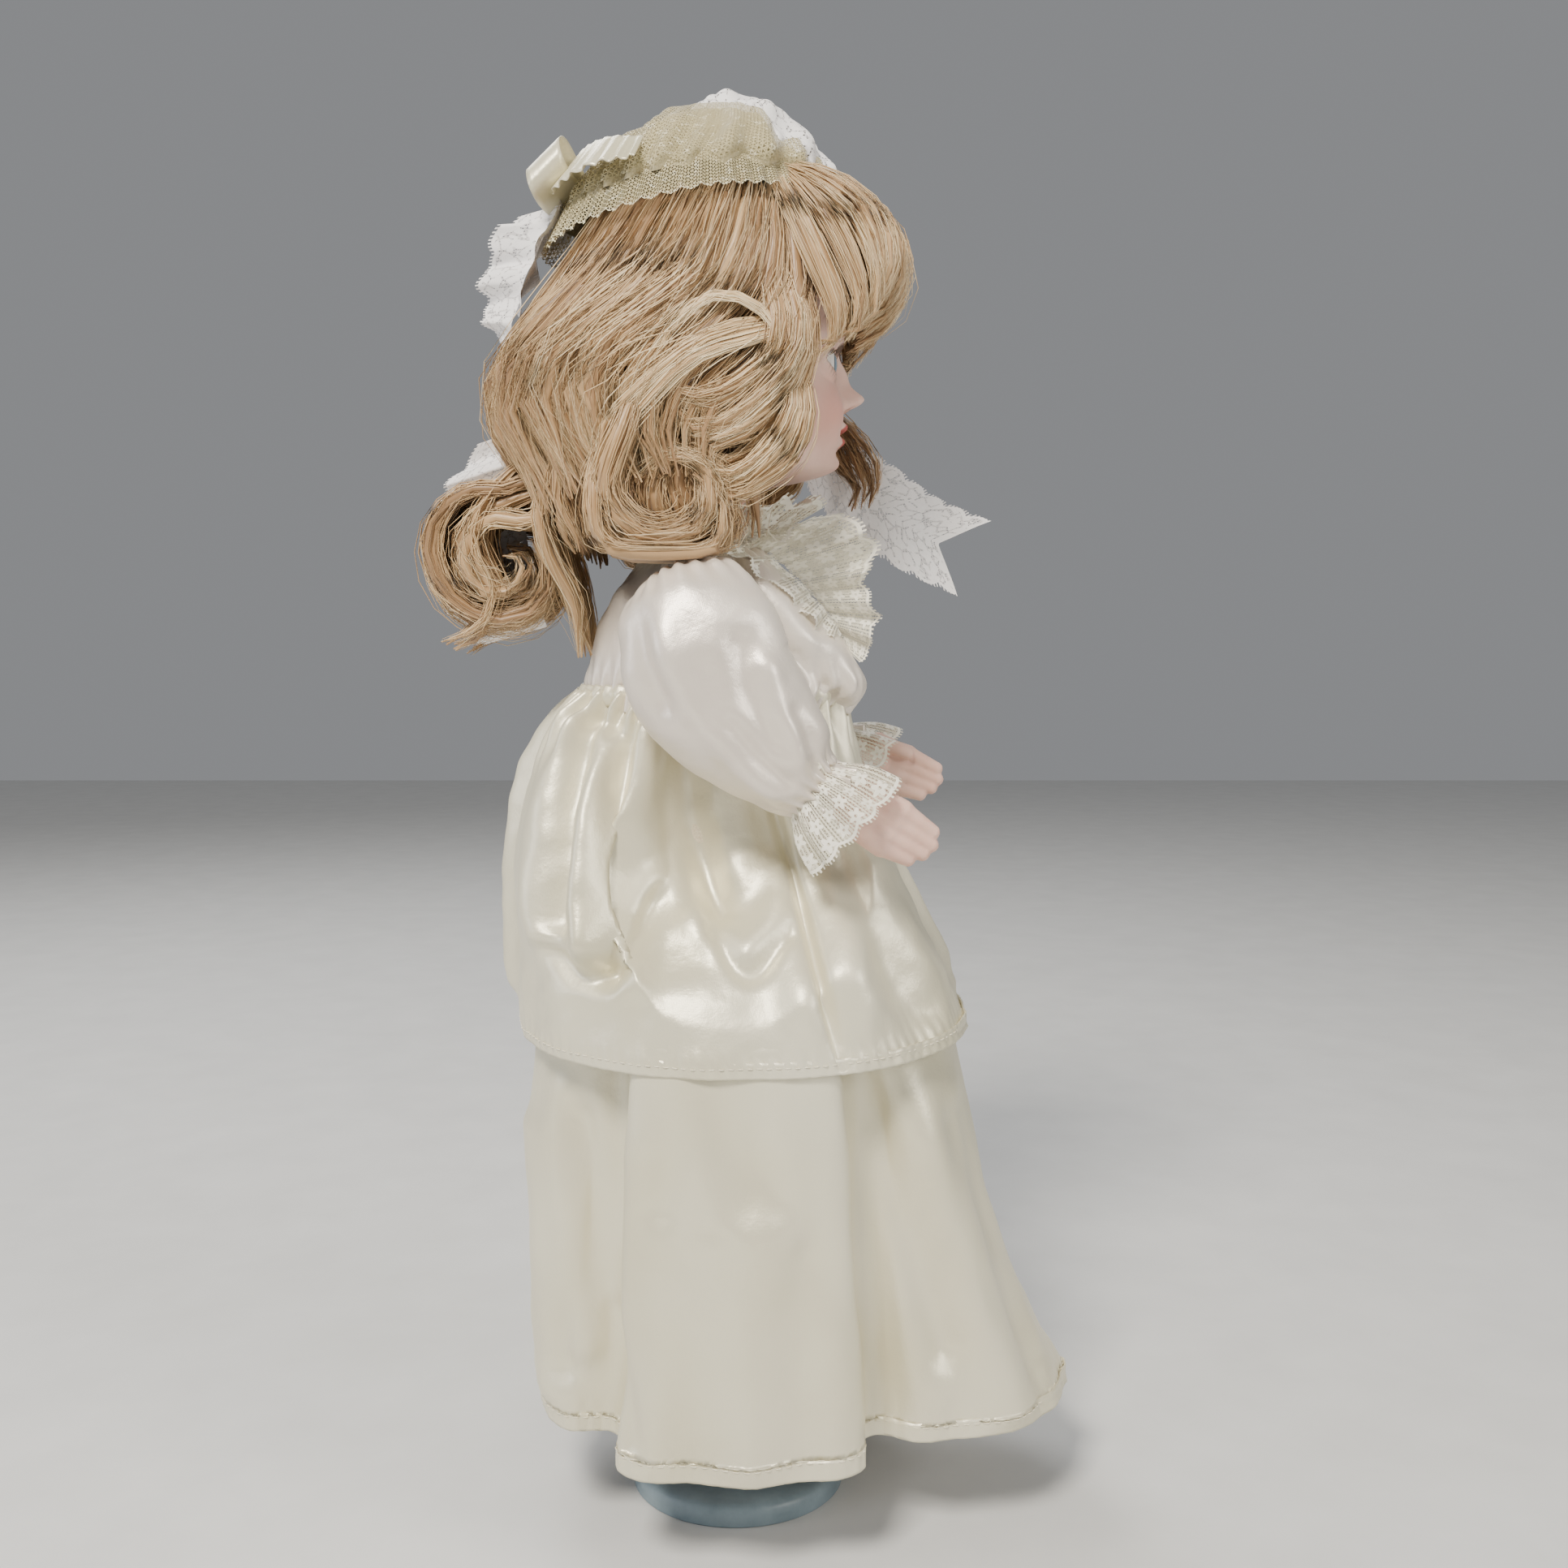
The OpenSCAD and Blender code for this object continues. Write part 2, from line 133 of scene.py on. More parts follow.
def make_satin(name, light, mid, dark, rough):
    """Polyester satin: long floats give a soft bright sheen, with a fine weave and faint slubs."""
    material, tree, shader = finish_named(name, Roughness=rough, IOR=1.55, Sheen_Weight=0.15,
            Sheen_Roughness=0.45, Specular_IOR_Level=0.7, Anisotropic=0.4, Metallic=0.3)
    shader.inputs["Sheen Tint"].default_value = linear(light)
    place, cloth = object_mm(tree), cloth_mm(tree)
    cloud = add(tree, "ShaderNodeTexNoise", {"Vector": place, "Scale": 0.022, "Detail": 1,
                "Roughness": 0.4})
    tone = add(tree, "ShaderNodeValToRGB", {0: cloud.outputs[0]},
            stops=[(0.1, dark), (0.5, mid), (0.9, light)])
    # the real weave has about 20 threads a millimetre; it is drawn at 2.5 so that it shows
    warp = add(tree, "ShaderNodeTexWave", {"Vector": cloth, "Scale": 0.8, "Distortion": 0.6, "Detail": 1},
            bands_direction="X")
    weft = add(tree, "ShaderNodeTexWave", {"Vector": cloth, "Scale": 1.1, "Distortion": 0.6, "Detail": 1},
            bands_direction="Y")
    weave = add(tree, MATH, {0: warp.outputs["Fac"], 1: weft.outputs["Fac"]}, operation="MULTIPLY")
    pucker = add(tree, "ShaderNodeTexNoise", {"Vector": place, "Scale": 0.16, "Detail": 4,
                "Roughness": 0.6})
    bump = add(tree, "ShaderNodeBump", {"Height": weave, "Strength": 0.10, "Distance": 0.00012})
    soft = add(tree, "ShaderNodeBump", {"Height": pucker.outputs[0], "Strength": 0.2, "Distance": 0.0014,
                "Normal": bump.outputs[0]})
    gloss = add(tree, MATH, {0: cloud.outputs[0], 1: 0.18, 2: rough - 0.09}, operation="MULTIPLY_ADD")
    tree.links.new(tone.outputs[0], shader.inputs["Base Color"])
    tree.links.new(gloss.outputs[0], shader.inputs["Roughness"])
    tree.links.new(soft.outputs[0], shader.inputs["Normal"])
    return material


def make_bisque(name, painted):
    """Bisque porcelain: unglazed, so matt with a faint grain, tinted pink, with painted blush and lips."""
    material, tree, shader = finish_named(name, Roughness=0.55, IOR=1.5, Subsurface_Weight=0.18,
            Subsurface_Scale=0.004, Specular_IOR_Level=0.38)
    shader.inputs["Subsurface Radius"].default_value = (1.0, 0.45, 0.3)
    place = object_mm(tree)
    cloud = add(tree, "ShaderNodeTexNoise", {"Vector": place, "Scale": 0.07, "Detail": 3})
    skin = add(tree, "ShaderNodeValToRGB", {0: cloud.outputs[0]},
            stops=[(0.35, "D6AF9F"), (0.65, "E2BFB0")])
    mixed = skin.outputs[0]
    if painted:
        paint = add(tree, "ShaderNodeVertexColor", layer_name="paint")
        mixed = add(tree, "ShaderNodeMix", {"Factor": paint.outputs["Alpha"], 6: mixed,
                    7: paint.outputs["Color"]}, data_type="RGBA").outputs[2]
    grain = add(tree, "ShaderNodeTexNoise", {"Vector": place, "Scale": 3.2, "Detail": 2})
    bump = add(tree, "ShaderNodeBump", {"Height": grain.outputs[0], "Strength": 0.12, "Distance": 0.0001})
    gloss = add(tree, "ShaderNodeMapRange", {0: grain.outputs[0], 3: 0.5, 4: 0.62})
    tree.links.new(mixed, shader.inputs["Base Color"])
    tree.links.new(gloss.outputs[0], shader.inputs["Roughness"])
    tree.links.new(bump.outputs[0], shader.inputs["Normal"])
    return material


def make_hair(name):
    """Synthetic wig fibre: glossy honey blond, each strand with its own tone; darker roots, under-strands
    and lock cores are painted shade, lighter outer strands painted light.
    """
    material, tree, shader = finish_named(name, Roughness=0.42, IOR=1.55, Specular_IOR_Level=0.45,
            Sheen_Weight=0.15)
    tone = add(tree, "ShaderNodeAttribute", attribute_name="tone")
    colour = add(tree, "ShaderNodeValToRGB", {0: tone.outputs["Fac"]},
            stops=[(0.0, "523B28"), (0.3, "94734F"), (0.58, "BF9D72"), (0.8, "D9BC90"), (1.0, "EFDCB6")])
    streak = add(tree, "ShaderNodeTexNoise", {"Vector": object_mm(tree), "Scale": 0.9, "Detail": 2})
    gloss = add(tree, "ShaderNodeMapRange", {0: streak.outputs[0], 3: 0.34, 4: 0.52})
    tree.links.new(colour.outputs[0], shader.inputs["Base Color"])
    tree.links.new(gloss.outputs[0], shader.inputs["Roughness"])
    return material


def make_lace(name, thread, net_open, glitter=False, plain=False):
    """Machine lace: a fine net with woven flowers and a scalloped, toothed edge. Its UV is in metres."""
    material, tree, shader = finish_named(name, Roughness=0.7, IOR=1.5, Sheen_Weight=0.2)
    cloth = cloth_mm(tree)
    split = add(tree, "ShaderNodeSeparateXYZ", {0: cloth})
    along, across = split.outputs[0], split.outputs[1]
    # the hexagonal net is drawn at 0.95 mm, a little over its real 0.7, so that it shows
    net = 0.0
    for turn in (0.0, 1.047, 2.094):
        spun = add(tree, "ShaderNodeVectorRotate", {"Vector": cloth, "Angle": turn}, rotation_type="Z_AXIS")
        axis = add(tree, "ShaderNodeSeparateXYZ", {0: spun})
        phase = add(tree, MATH, {0: axis, 1: math.pi / NET_PITCH}, operation="MULTIPLY")
        wave = add(tree, MATH, {0: add(tree, MATH, {0: phase}, operation="SINE")}, operation="ABSOLUTE")
        thread_line = add(tree, MATH, {0: wave, 1: net_open}, operation="LESS_THAN")
        net = add(tree, MATH, {0: net, 1: thread_line}, operation="MAXIMUM")
    # one flower every 11 mm: five petals round an open eye
    fold_along = add(tree, MATH, {0: along, 1: FLOWER_PITCH / 2}, operation="PINGPONG")
    cell = add(tree, MATH, {0: fold_along, 1: FLOWER_PITCH / 4}, operation="SUBTRACT")
    shifted = add(tree, MATH, {0: across, 1: 1.0}, operation="ADD")
    fold_across = add(tree, MATH, {0: shifted, 1: FLOWER_ROW / 2}, operation="PINGPONG")
    rise = add(tree, MATH, {0: fold_across, 1: FLOWER_ROW / 4}, operation="SUBTRACT")
    cell_square = add(tree, MATH, {0: cell, 1: cell}, operation="MULTIPLY")
    square = add(tree, MATH, {0: rise, 1: rise, 2: cell_square}, operation="MULTIPLY_ADD")
    reach = add(tree, MATH, {0: square}, operation="SQRT")
    angle = add(tree, MATH, {0: rise, 1: cell}, operation="ARCTAN2")
    lobes = add(tree, MATH, {0: add(tree, MATH, {0: angle, 1: 5.0}, operation="MULTIPLY")},
            operation="COSINE")
    petals = add(tree, MATH, {0: lobes, 1: 0.55, 2: 1.75}, operation="MULTIPLY_ADD")
    flower = add(tree, MATH, {0: reach, 1: petals}, operation="LESS_THAN")
    eye = add(tree, MATH, {0: reach, 1: 0.45}, operation="GREATER_THAN")
    solid = add(tree, MATH, {0: flower, 1: eye}, operation="MULTIPLY")
    cloud = add(tree, "ShaderNodeTexNoise", {"Vector": cloth, "Scale": 0.5, "Detail": 2})
    if glitter:
        veins = add(tree, "ShaderNodeTexVoronoi", {"Vector": cloth, "Scale": 0.33},
                feature="DISTANCE_TO_EDGE")
        patch = add(tree, MATH, {0: veins, 1: 0.07}, operation="GREATER_THAN")
        solid = add(tree, MATH, {0: solid, 1: patch}, operation="MAXIMUM")
    if plain:
        speck = add(tree, MATH, {0: cloud, 1: 0.60}, operation="GREATER_THAN")
        solid = add(tree, MATH, {0: speck, 1: net}, operation="MULTIPLY")
    # edge is the distance to the cut edge in millimetres: a corded line, then teeth past it
    edge = add(tree, "ShaderNodeAttribute", attribute_name="edge").outputs["Fac"]
    arch = add(tree, MATH, {0: along, 1: math.pi / SCALLOP_PITCH}, operation="MULTIPLY")
    arch = add(tree, MATH, {0: add(tree, MATH, {0: arch}, operation="SINE")}, operation="ABSOLUTE")
    arch = add(tree, MATH, {0: arch, 1: -1.6, 2: 2.6}, operation="MULTIPLY_ADD")
    inside = add(tree, MATH, {0: edge, 1: 0.2 if plain else arch}, operation="SUBTRACT")
    off_cord = add(tree, MATH, {0: inside, 1: 0.35}, operation="SUBTRACT")
    off_cord = add(tree, MATH, {0: off_cord}, operation="ABSOLUTE")
    cord = add(tree, MATH, {0: off_cord, 1: 0.45}, operation="LESS_THAN")
    tooth = add(tree, MATH, {0: along, 1: 2 * math.pi / TOOTH_PITCH}, operation="MULTIPLY")
    tooth = add(tree, MATH, {0: add(tree, MATH, {0: tooth}, operation="SINE"), 1: 0.25},
            operation="GREATER_THAN")
    near = add(tree, MATH, {0: inside, 1: -1.0}, operation="GREATER_THAN")
    teeth = add(tree, MATH, {0: tooth, 1: near}, operation="MULTIPLY")
    kept = add(tree, MATH, {0: inside, 1: 0.0}, operation="GREATER_THAN")
    filled = add(tree, MATH, {0: net, 1: solid}, operation="MAXIMUM")
    shown = add(tree, MATH, {0: kept, 1: filled}, operation="MULTIPLY")
    if not plain:
        shown = add(tree, MATH, {0: shown, 1: cord}, operation="MAXIMUM")
        shown = add(tree, MATH, {0: shown, 1: teeth}, operation="MAXIMUM")
    dense = add(tree, MATH, {0: solid, 1: cord}, operation="MAXIMUM")
    tone = add(tree, "ShaderNodeMix", {"Factor": dense, 6: linear(thread[0]), 7: linear(thread[1])},
            data_type="RGBA")
    relief = add(tree, MATH, {0: solid, 1: cloud}, operation="ADD")
    bump = add(tree, "ShaderNodeBump", {"Height": relief, "Strength": 0.5, "Distance": 0.0003})
    tree.links.new(tone.outputs[2], shader.inputs["Base Color"])
    tree.links.new(shown.outputs[0], shader.inputs["Alpha"])
    tree.links.new(bump.outputs[0], shader.inputs["Normal"])
    return material


def make_plain(name, light, dark, rough, scale, metallic=0.0, bump_mm=0.05, **values):
    """A grained finish: colour, gloss and relief follow one noise at the grain's scale in millimetres."""
    material, tree, shader = finish_named(name, Roughness=rough, Metallic=metallic, **values)
    place = object_mm(tree)
    grain = add(tree, "ShaderNodeTexNoise", {"Vector": place, "Scale": 1 / scale, "Detail": 4,
                "Roughness": 0.6})
    tone = add(tree, "ShaderNodeValToRGB", {0: grain.outputs[0]}, stops=[(0.3, dark), (0.7, light)])
    gloss = add(tree, "ShaderNodeMapRange", {0: grain.outputs[0], 3: rough - 0.06, 4: rough + 0.08})
    bump = add(tree, "ShaderNodeBump", {"Height": grain.outputs[0], "Strength": 0.4,
                "Distance": bump_mm * MM})
    tree.links.new(tone.outputs[0], shader.inputs["Base Color"])
    tree.links.new(gloss.outputs[0], shader.inputs["Roughness"])
    tree.links.new(bump.outputs[0], shader.inputs["Normal"])
    return material


def make_weave(name, light, dark, rough, pitch):
    """Plain-woven cotton: threads cross over and under at the pitch in millimetres."""
    material, tree, shader = finish_named(name, Roughness=rough, Sheen_Weight=0.3)
    cloth = cloth_mm(tree)
    warp = add(tree, "ShaderNodeTexWave", {"Vector": cloth, "Scale": 0.31 / pitch}, bands_direction="X")
    weft = add(tree, "ShaderNodeTexWave", {"Vector": cloth, "Scale": 0.31 / pitch}, bands_direction="Y")
    weave = add(tree, MATH, {0: warp.outputs["Fac"], 1: weft.outputs["Fac"]}, operation="MAXIMUM")
    cloud = add(tree, "ShaderNodeTexNoise", {"Vector": object_mm(tree), "Scale": 0.1, "Detail": 3})
    tone = add(tree, "ShaderNodeValToRGB", {0: add(tree, MATH,
                    {0: weave, 1: 0.4, 2: add(tree, MATH, {0: cloud.outputs[0], 1: 0.6},
                    operation="MULTIPLY")}, operation="MULTIPLY_ADD")}, stops=[(0.2, dark), (0.7, light)])
    bump = add(tree, "ShaderNodeBump", {"Height": weave, "Strength": 0.5, "Distance": 0.0001})
    tree.links.new(tone.outputs[0], shader.inputs["Base Color"])
    tree.links.new(bump.outputs[0], shader.inputs["Normal"])
    return material


SATIN = make_satin("ivory_polyester_satin", "EAE5CF", "DFD9C0", "CFC8A6", 0.39)
SLEEVE_SATIN = make_satin("pale_blush_satin", "EEE6DA", "E2D8CC", "D4C8BA", 0.37)
BISQUE = make_bisque("painted_bisque_porcelain", True)
PLAIN_BISQUE = make_bisque("tinted_bisque_porcelain", False)
HAIR = make_hair("honey_blond_wig_fibre")
CREAM_LACE = make_lace("cream_edging_lace", ("DDD8C4", "F2EEDF"), 0.24)
WHITE_LACE = make_lace("white_glitter_lace", ("D9D6D6", "F2F0F0"), 0.45, glitter=True)
BASE_PAINT = make_plain("satin_blue_grey_base_paint", "8C9DA6", "778890", 0.42, 9.0, bump_mm=0.08)
STEEL = make_plain("brushed_plated_steel", "D2D2CF", "A9AAA8", 0.3, 0.8, metallic=1.0)
COTTON = make_weave("white_cotton_batiste", "F4F2EC", "DAD7CE", 0.85, 0.45)
TULLE = make_plain("beige_tulle_over_lining", "C9BF9C", "A89D76", 0.85, 0.8, bump_mm=0.25, Sheen_Weight=0.4)
TULLE_NET = make_lace("beige_tulle_net", ("B5AA82", "DAD2B0"), 0.34, plain=True)
VINYL = make_plain("white_shoe_vinyl", "F1EEE8", "DAD6CD", 0.3, 0.6, Coat_Weight=0.3)
CARD = make_plain("pate_card", "E3D8C6", "CCBFA9", 0.8, 0.8)
NYLON = make_plain("white_nylon_washer", "EFEFEA", "DADAD4", 0.45, 0.7)
MUSLIN_PLAIN = make_plain("unbleached_muslin", "EADFC9", "CDBFA3", 0.88, 0.6, bump_mm=0.15,
        Sheen_Weight=0.2)
THREAD = make_plain("cream_sewing_thread", "EFEAD8", "DDD6BF", 0.6, 0.5, bump_mm=0.05)
SOLE = make_plain("moulded_tan_sole", "B79B77", "9C8262", 0.6, 1.2)
PEARL = make_plain("pearl_bead", "F4EEE6", "E2D9D0", 0.18, 1.5, Coat_Weight=0.6)
FINISHES = {"STEEL": STEEL, "PLAIN_BISQUE": PLAIN_BISQUE, "NYLON": NYLON, "CARD": CARD,
        "MUSLIN_PLAIN": MUSLIN_PLAIN}


# ---------------------------------------------------------------- mesh helpers

def spline(points, n, closed=False):
    """Catmull-Rom through the points: n samples in each span."""
    p = np.asarray(points, float)
    count = len(p) if closed else len(p) - 1
    if closed:
        q = np.concatenate([p[-1:], p, p[:2]])
    else:
        q = np.concatenate([2 * p[:1] - p[1:2], p, 2 * p[-1:] - p[-2:-1]])
    t = (np.arange(n) / n)[:, None]
    out = []
    for i in range(count):
        a, b, c, d = q[i], q[i + 1], q[i + 2], q[i + 3]
        out.append(0.5 * (2 * b + (c - a) * t + (2 * a - 5 * b + 4 * c - d) * t ** 2
                    + (3 * b - a - 3 * c + d) * t ** 3))
    line = np.concatenate(out)
    return line if closed else np.concatenate([line, p[-1:]])


def smooth(t):
    t = np.clip(t, 0, 1)
    return t * t * (3 - 2 * t)


def reach_along(line):
    """How far each point of a line is from its start."""
    return np.concatenate([[0], np.cumsum(np.linalg.norm(np.diff(line, axis=0), axis=1))])


def rounded_ring(turn, side, centre, depth, z, power):
    """A level ring between an ellipse and a rounded box. Turn 0 is the front."""
    cos, sin = np.cos(turn), np.sin(turn)
    return np.stack([-side * np.sign(sin) * np.abs(sin) ** power,
            centre - depth * np.sign(cos) * np.abs(cos) ** power, np.full_like(turn, z)], 1)


def bell(x, centre, width):
    return np.exp(-((x - centre) / width) ** 2)


def curve_at(table, x):
    """A smooth value from a table of (x, value) rows."""
    t = np.asarray(table, float)
    fine = spline(t, 12)
    order = np.argsort(fine[:, 0])
    return np.interp(x, fine[order, 0], fine[order, 1])


def noise_mm(points, size, seed=0.0):
    """Smooth noise about 0 for an array of points in millimetres; size is its feature size."""
    flat = points.reshape(-1, 3) / size + seed * 17.3
    values = np.fromiter((noise.noise(Vector(p)) for p in flat), float, len(flat))
    return values.reshape(points.shape[:-1])


def mesh_piece(name, points, faces, material, body):
    """A smooth-shaded piece from points in millimetres and faces."""
    mesh = bpy.data.meshes.new(name)
    mesh.from_pydata((points * MM).tolist(), [], faces)
    mesh.polygons.foreach_set("use_smooth", [True] * len(mesh.polygons))
    mesh.materials.append(material)
    piece = bpy.data.objects.new(name, mesh)
    bpy.context.collection.objects.link(piece)
    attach(piece, body)
    return piece


def grid_piece(name, points, body, material, closed=False, cap="", edge=None, paint=None, thick=0.0):
    """A smooth surface through rows of points in mm. Its UV holds metres along the rows and columns."""
    if closed and not faces_out(points, np.cross(np.roll(points, -1, 1) - points,
                np.gradient(points, axis=0))):
        points = points[:, ::-1]
        edge = edge[:, ::-1] if edge is not None else None
        paint = paint[:, ::-1] if paint is not None else None
    rows, cols = points.shape[:2]
    verts = (points * MM).reshape(-1, 3)
    quads, uvs = [], []
    wrap = np.concatenate([points, points[:, :1]], 1) if closed else points
    along = np.concatenate([[0], np.cumsum(np.linalg.norm(np.diff(wrap, axis=1), axis=2).mean(0))]) * MM
    up = np.concatenate([[0], np.cumsum(np.linalg.norm(np.diff(points, axis=0), axis=2).mean(1))]) * MM
    span = cols if closed else cols - 1
    for i in range(rows - 1):
        for j in range(span):
            k = (j + 1) % cols
            quads.append((i * cols + j, i * cols + k, (i + 1) * cols + k, (i + 1) * cols + j))
            uvs += [(along[j], up[i]), (along[j + 1], up[i]), (along[j + 1], up[i + 1]),
                    (along[j], up[i + 1])]
    if cap:
        for row in {"both": (0, rows - 1), "last": (rows - 1,), "first": (0,)}[cap]:
            ring = [row * cols + j for j in range(cols)]
            ring = ring[::-1] if row == 0 else ring
            quads.append(tuple(ring))
            uvs += [(verts[v][0], verts[v][1]) for v in ring]
    mesh = bpy.data.meshes.new(name)
    mesh.from_pydata(verts.tolist(), [], quads)
    layer = mesh.uv_layers.new(name="cloth")
    layer.data.foreach_set("uv", np.asarray(uvs, np.float32).ravel())
    mesh.polygons.foreach_set("use_smooth", [True] * len(mesh.polygons))
    if edge is not None:
        mesh.attributes.new("edge", "FLOAT", "POINT").data.foreach_set("value",
                np.asarray(edge, np.float32).ravel())
    if paint is not None:
        colours = mesh.color_attributes.new("paint", "FLOAT_COLOR", "POINT")
        colours.data.foreach_set("color", np.asarray(paint, np.float32).ravel())
    mesh.materials.append(material)
    piece = bpy.data.objects.new(name, mesh)
    bpy.context.collection.objects.link(piece)
    if cap:
        select_only(piece)
        bpy.ops.object.mode_set(mode="EDIT")
        bpy.ops.mesh.select_all(action="SELECT")
        bpy.ops.mesh.normals_make_consistent(inside=False)
        bpy.ops.object.mode_set(mode="OBJECT")
    if thick:
        solid = piece.modifiers.new("wall", "SOLIDIFY")
        solid.thickness = thick * MM
        solid.offset = -1
        apply_modifiers(piece)
    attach(piece, body)
    return piece


def directions_along(path):
    """The direction of a path at each of its points."""
    tangent = np.gradient(path, axis=0)
    tangent /= np.linalg.norm(tangent, axis=1)[:, None] + 1e-9
    return tangent


def tube_points(path, radii, n, twist=0.0):
    """Rings round a path: half width across X and half depth square to it. Radii are (x, other)."""
    path, radii = np.asarray(path, float), np.asarray(radii, float)
    tangent = directions_along(path)
    side = np.array([1.0, 0, 0]) - tangent * tangent[:, :1]
    side /= np.linalg.norm(side, axis=1)[:, None]
    other = np.cross(tangent, side)
    t = np.linspace(0, 2 * np.pi, n, endpoint=False) + twist
    return (path[:, None] + np.cos(t)[None, :, None] * (side * radii[:, :1])[:, None]
            + np.sin(t)[None, :, None] * (other * radii[:, 1:2])[:, None])


def faces_out(points, normals):
    away = points - points.mean(1, keepdims=True)
    away = away / (np.linalg.norm(away, axis=2)[..., None] + 1e-9)
    return (away * normals).sum() > 0


def outward(points):
    """Normals of a grid of points closed along its rows."""
    du = np.roll(points, -1, 1) - np.roll(points, 1, 1)
    dv = np.gradient(points, axis=0)
    n = np.cross(du, dv)
    n /= np.linalg.norm(n, axis=2)[..., None] + 1e-9
    return n if faces_out(points, n) else -n


# ---------------------------------------------------------------- the dress: plans, folds and hems

def strokes_at(along, up, strokes):
    """Height of listed folds. A fold is (width, height, [(along, up), ...]), with round ends."""
    total = np.zeros_like(along)
    for width, height, line in strokes:
        line = spline(line, 8)
        near = np.full_like(along, 1e9)
        for a, b in zip(line[:-1], line[1:]):
            ab = b - a
            t = np.clip(((along - a[0]) * ab[0] + (up - a[1]) * ab[1]) / (ab @ ab + 1e-9), 0, 1)
            near = np.minimum(near, (along - a[0] - t * ab[0]) ** 2 + (up - a[1] - t * ab[1]) ** 2)
        total += height * np.exp(-near / width ** 2)
    return total


# plan of the lower tier, from the middle of the front round by the doll's right:
# at the hem and under the upper tier
HEM_PLAN = [(0, -104), (-18, -101), (-34, -89), (-44, -72), (-47, -56), (-43, -43), (-48, -38), (-61, -37),
        (-68, -22), (-69, 0), (-67, 20), (-61, 31), (-47, 33), (-39, 37), (-40, 48), (-30, 57), (-15, 61),
        (0, 59), (16, 61), (30, 56), (42, 46), (50, 30), (58, 22), (66, 5), (66, -15), (58, -32), (48, -42),
        (50, -58), (42, -78), (28, -92), (14, -100)]
TOP_PLAN = [(0, -67), (-14, -65), (-26, -61), (-36, -53), (-41, -44), (-40, -36), (-46, -31), (-58, -29),
        (-63, -15), (-63.5, 0), (-63, 15), (-58, 27), (-46, 28), (-38, 32), (-37, 41), (-29, 52), (-16, 60),
        (0, 60), (16, 59), (30, 54), (42, 44), (50, 30), (56, 18), (61, 5), (61, -12), (55, -26), (47, -36),
        (43, -46), (36, -54), (24, -61), (12, -66)]
HEM_Z, TIER_Z, WAIST_Z = 33.0, 146.0, 248.0


def turn_in_hem(grid, drop_rows, depth, inset):
    """Folds the lowest row inwards and up again, as a sewn hem is."""
    centre = grid[0].mean(0)
    inward = centre - grid[0]
    inward[:, 2] = 0
    inward /= np.linalg.norm(inward, axis=1)[:, None]
    rows = []
    for step in np.linspace(1, 0.12, drop_rows):
        rows.append(grid[0] + inward * inset + [0, 0, depth * step])
    rows.append(grid[0] + inward * inset * 0.5 - [0, 0, 0.1])
    return np.concatenate([np.array(rows), grid])


def lower_tier_points():
    hem, top = spline(HEM_PLAN, 12, closed=True), spline(TOP_PLAN, 12, closed=True)
    length = reach_along(hem)
    rows = []
    heights = np.concatenate([HEM_Z + np.linspace(0, 6, 9)[:-1], np.linspace(38, 152, 64),
                [156, 161, 167, 174, 181]])
    for z in heights:
        t = (TIER_Z - z) / (TIER_Z - HEM_Z)
        plan = top + (hem - top) * (smooth(t) * 0.35 + np.clip(t, 0, 1.2) * 0.65)
        if z > TIER_Z + 4:
            squeeze = 1 - 0.5 * smooth((z - 150) / 40)
            plan = (top - [0, -2]) * squeeze + [0, -2 + 6 * (1 - squeeze)]
        # the real front hangs straight from the tier and kicks out a little at the hem
        front = bell(plan[:, 0], 0, 45) * (plan[:, 1] < 0)
        plan = plan + np.stack([0 * front, front * 5 * bell(t, 0.55, 0.35)], 1)
        rows.append(np.column_stack([plan, np.full(len(plan), z)]))
    grid = np.array(rows)
    z = grid[..., 2]
    low = smooth((TIER_Z + 2 - z) / 30)
    crumple = (noise_mm(grid * [1, 1, 0.25], 15, 1) * 2.8 + noise_mm(grid * [1, 1, 0.5], 8, 2) * 0.7) * low
    creases = strokes_at(grid[..., 1], z, [(5, -1.6, [(20, 146), (17, 128), (19, 108)]),
                (6, 1.5, [(4, 146), (8, 128), (4, 105)]), (5, -1.3, [(-12, 146), (-9, 126), (-13, 110)]),
                (8, 1.6, [(-4, 100), (2, 70), (-2, 40)]), (8, -1.4, [(-22, 92), (-20, 66), (-24, 40)]),
                (7, 1.4, [(22, 88), (20, 60), (23, 38)]), (7, 3.2,
                    [(-50, 142), (-60, 108), (-72, 66), (-80, 40)]),
                (6, -2.6, [(-40, 138), (-50, 96), (-62, 60)]),
                (6, -2.2, [(-64, 122), (-80, 80), (-92, 48)]), (6, 2.6, [(52, 134), (47, 96), (45, 60)]),
                (5, -2.4, [(44, 126), (42, 90), (50, 52)]), (5, 2.0, [(60, 118), (57, 80), (56, 44)]),
                (4, -1.5, [(34, 70), (30, 55), (27, 42)])])
    pucker = 0.28 * np.sin(length * 2 * np.pi / 4.6 + 1.5 * np.sin(length / 19))[None] * bell(z,
            HEM_Z + 3.2, 4.0)
    grid = grid + outward(grid) * (crumple + 1.35 * creases * low + pucker)[..., None]
    dip = 0.14 * np.sin(length * 2 * np.pi / 4.6 + 1.5 * np.sin(length / 19)) + 1.0 * np.sin(length / 31)
    grid[..., 2] += dip[None] * bell(z, HEM_Z, 5)
    return turn_in_hem(grid, 4, 5.5, 0.9)


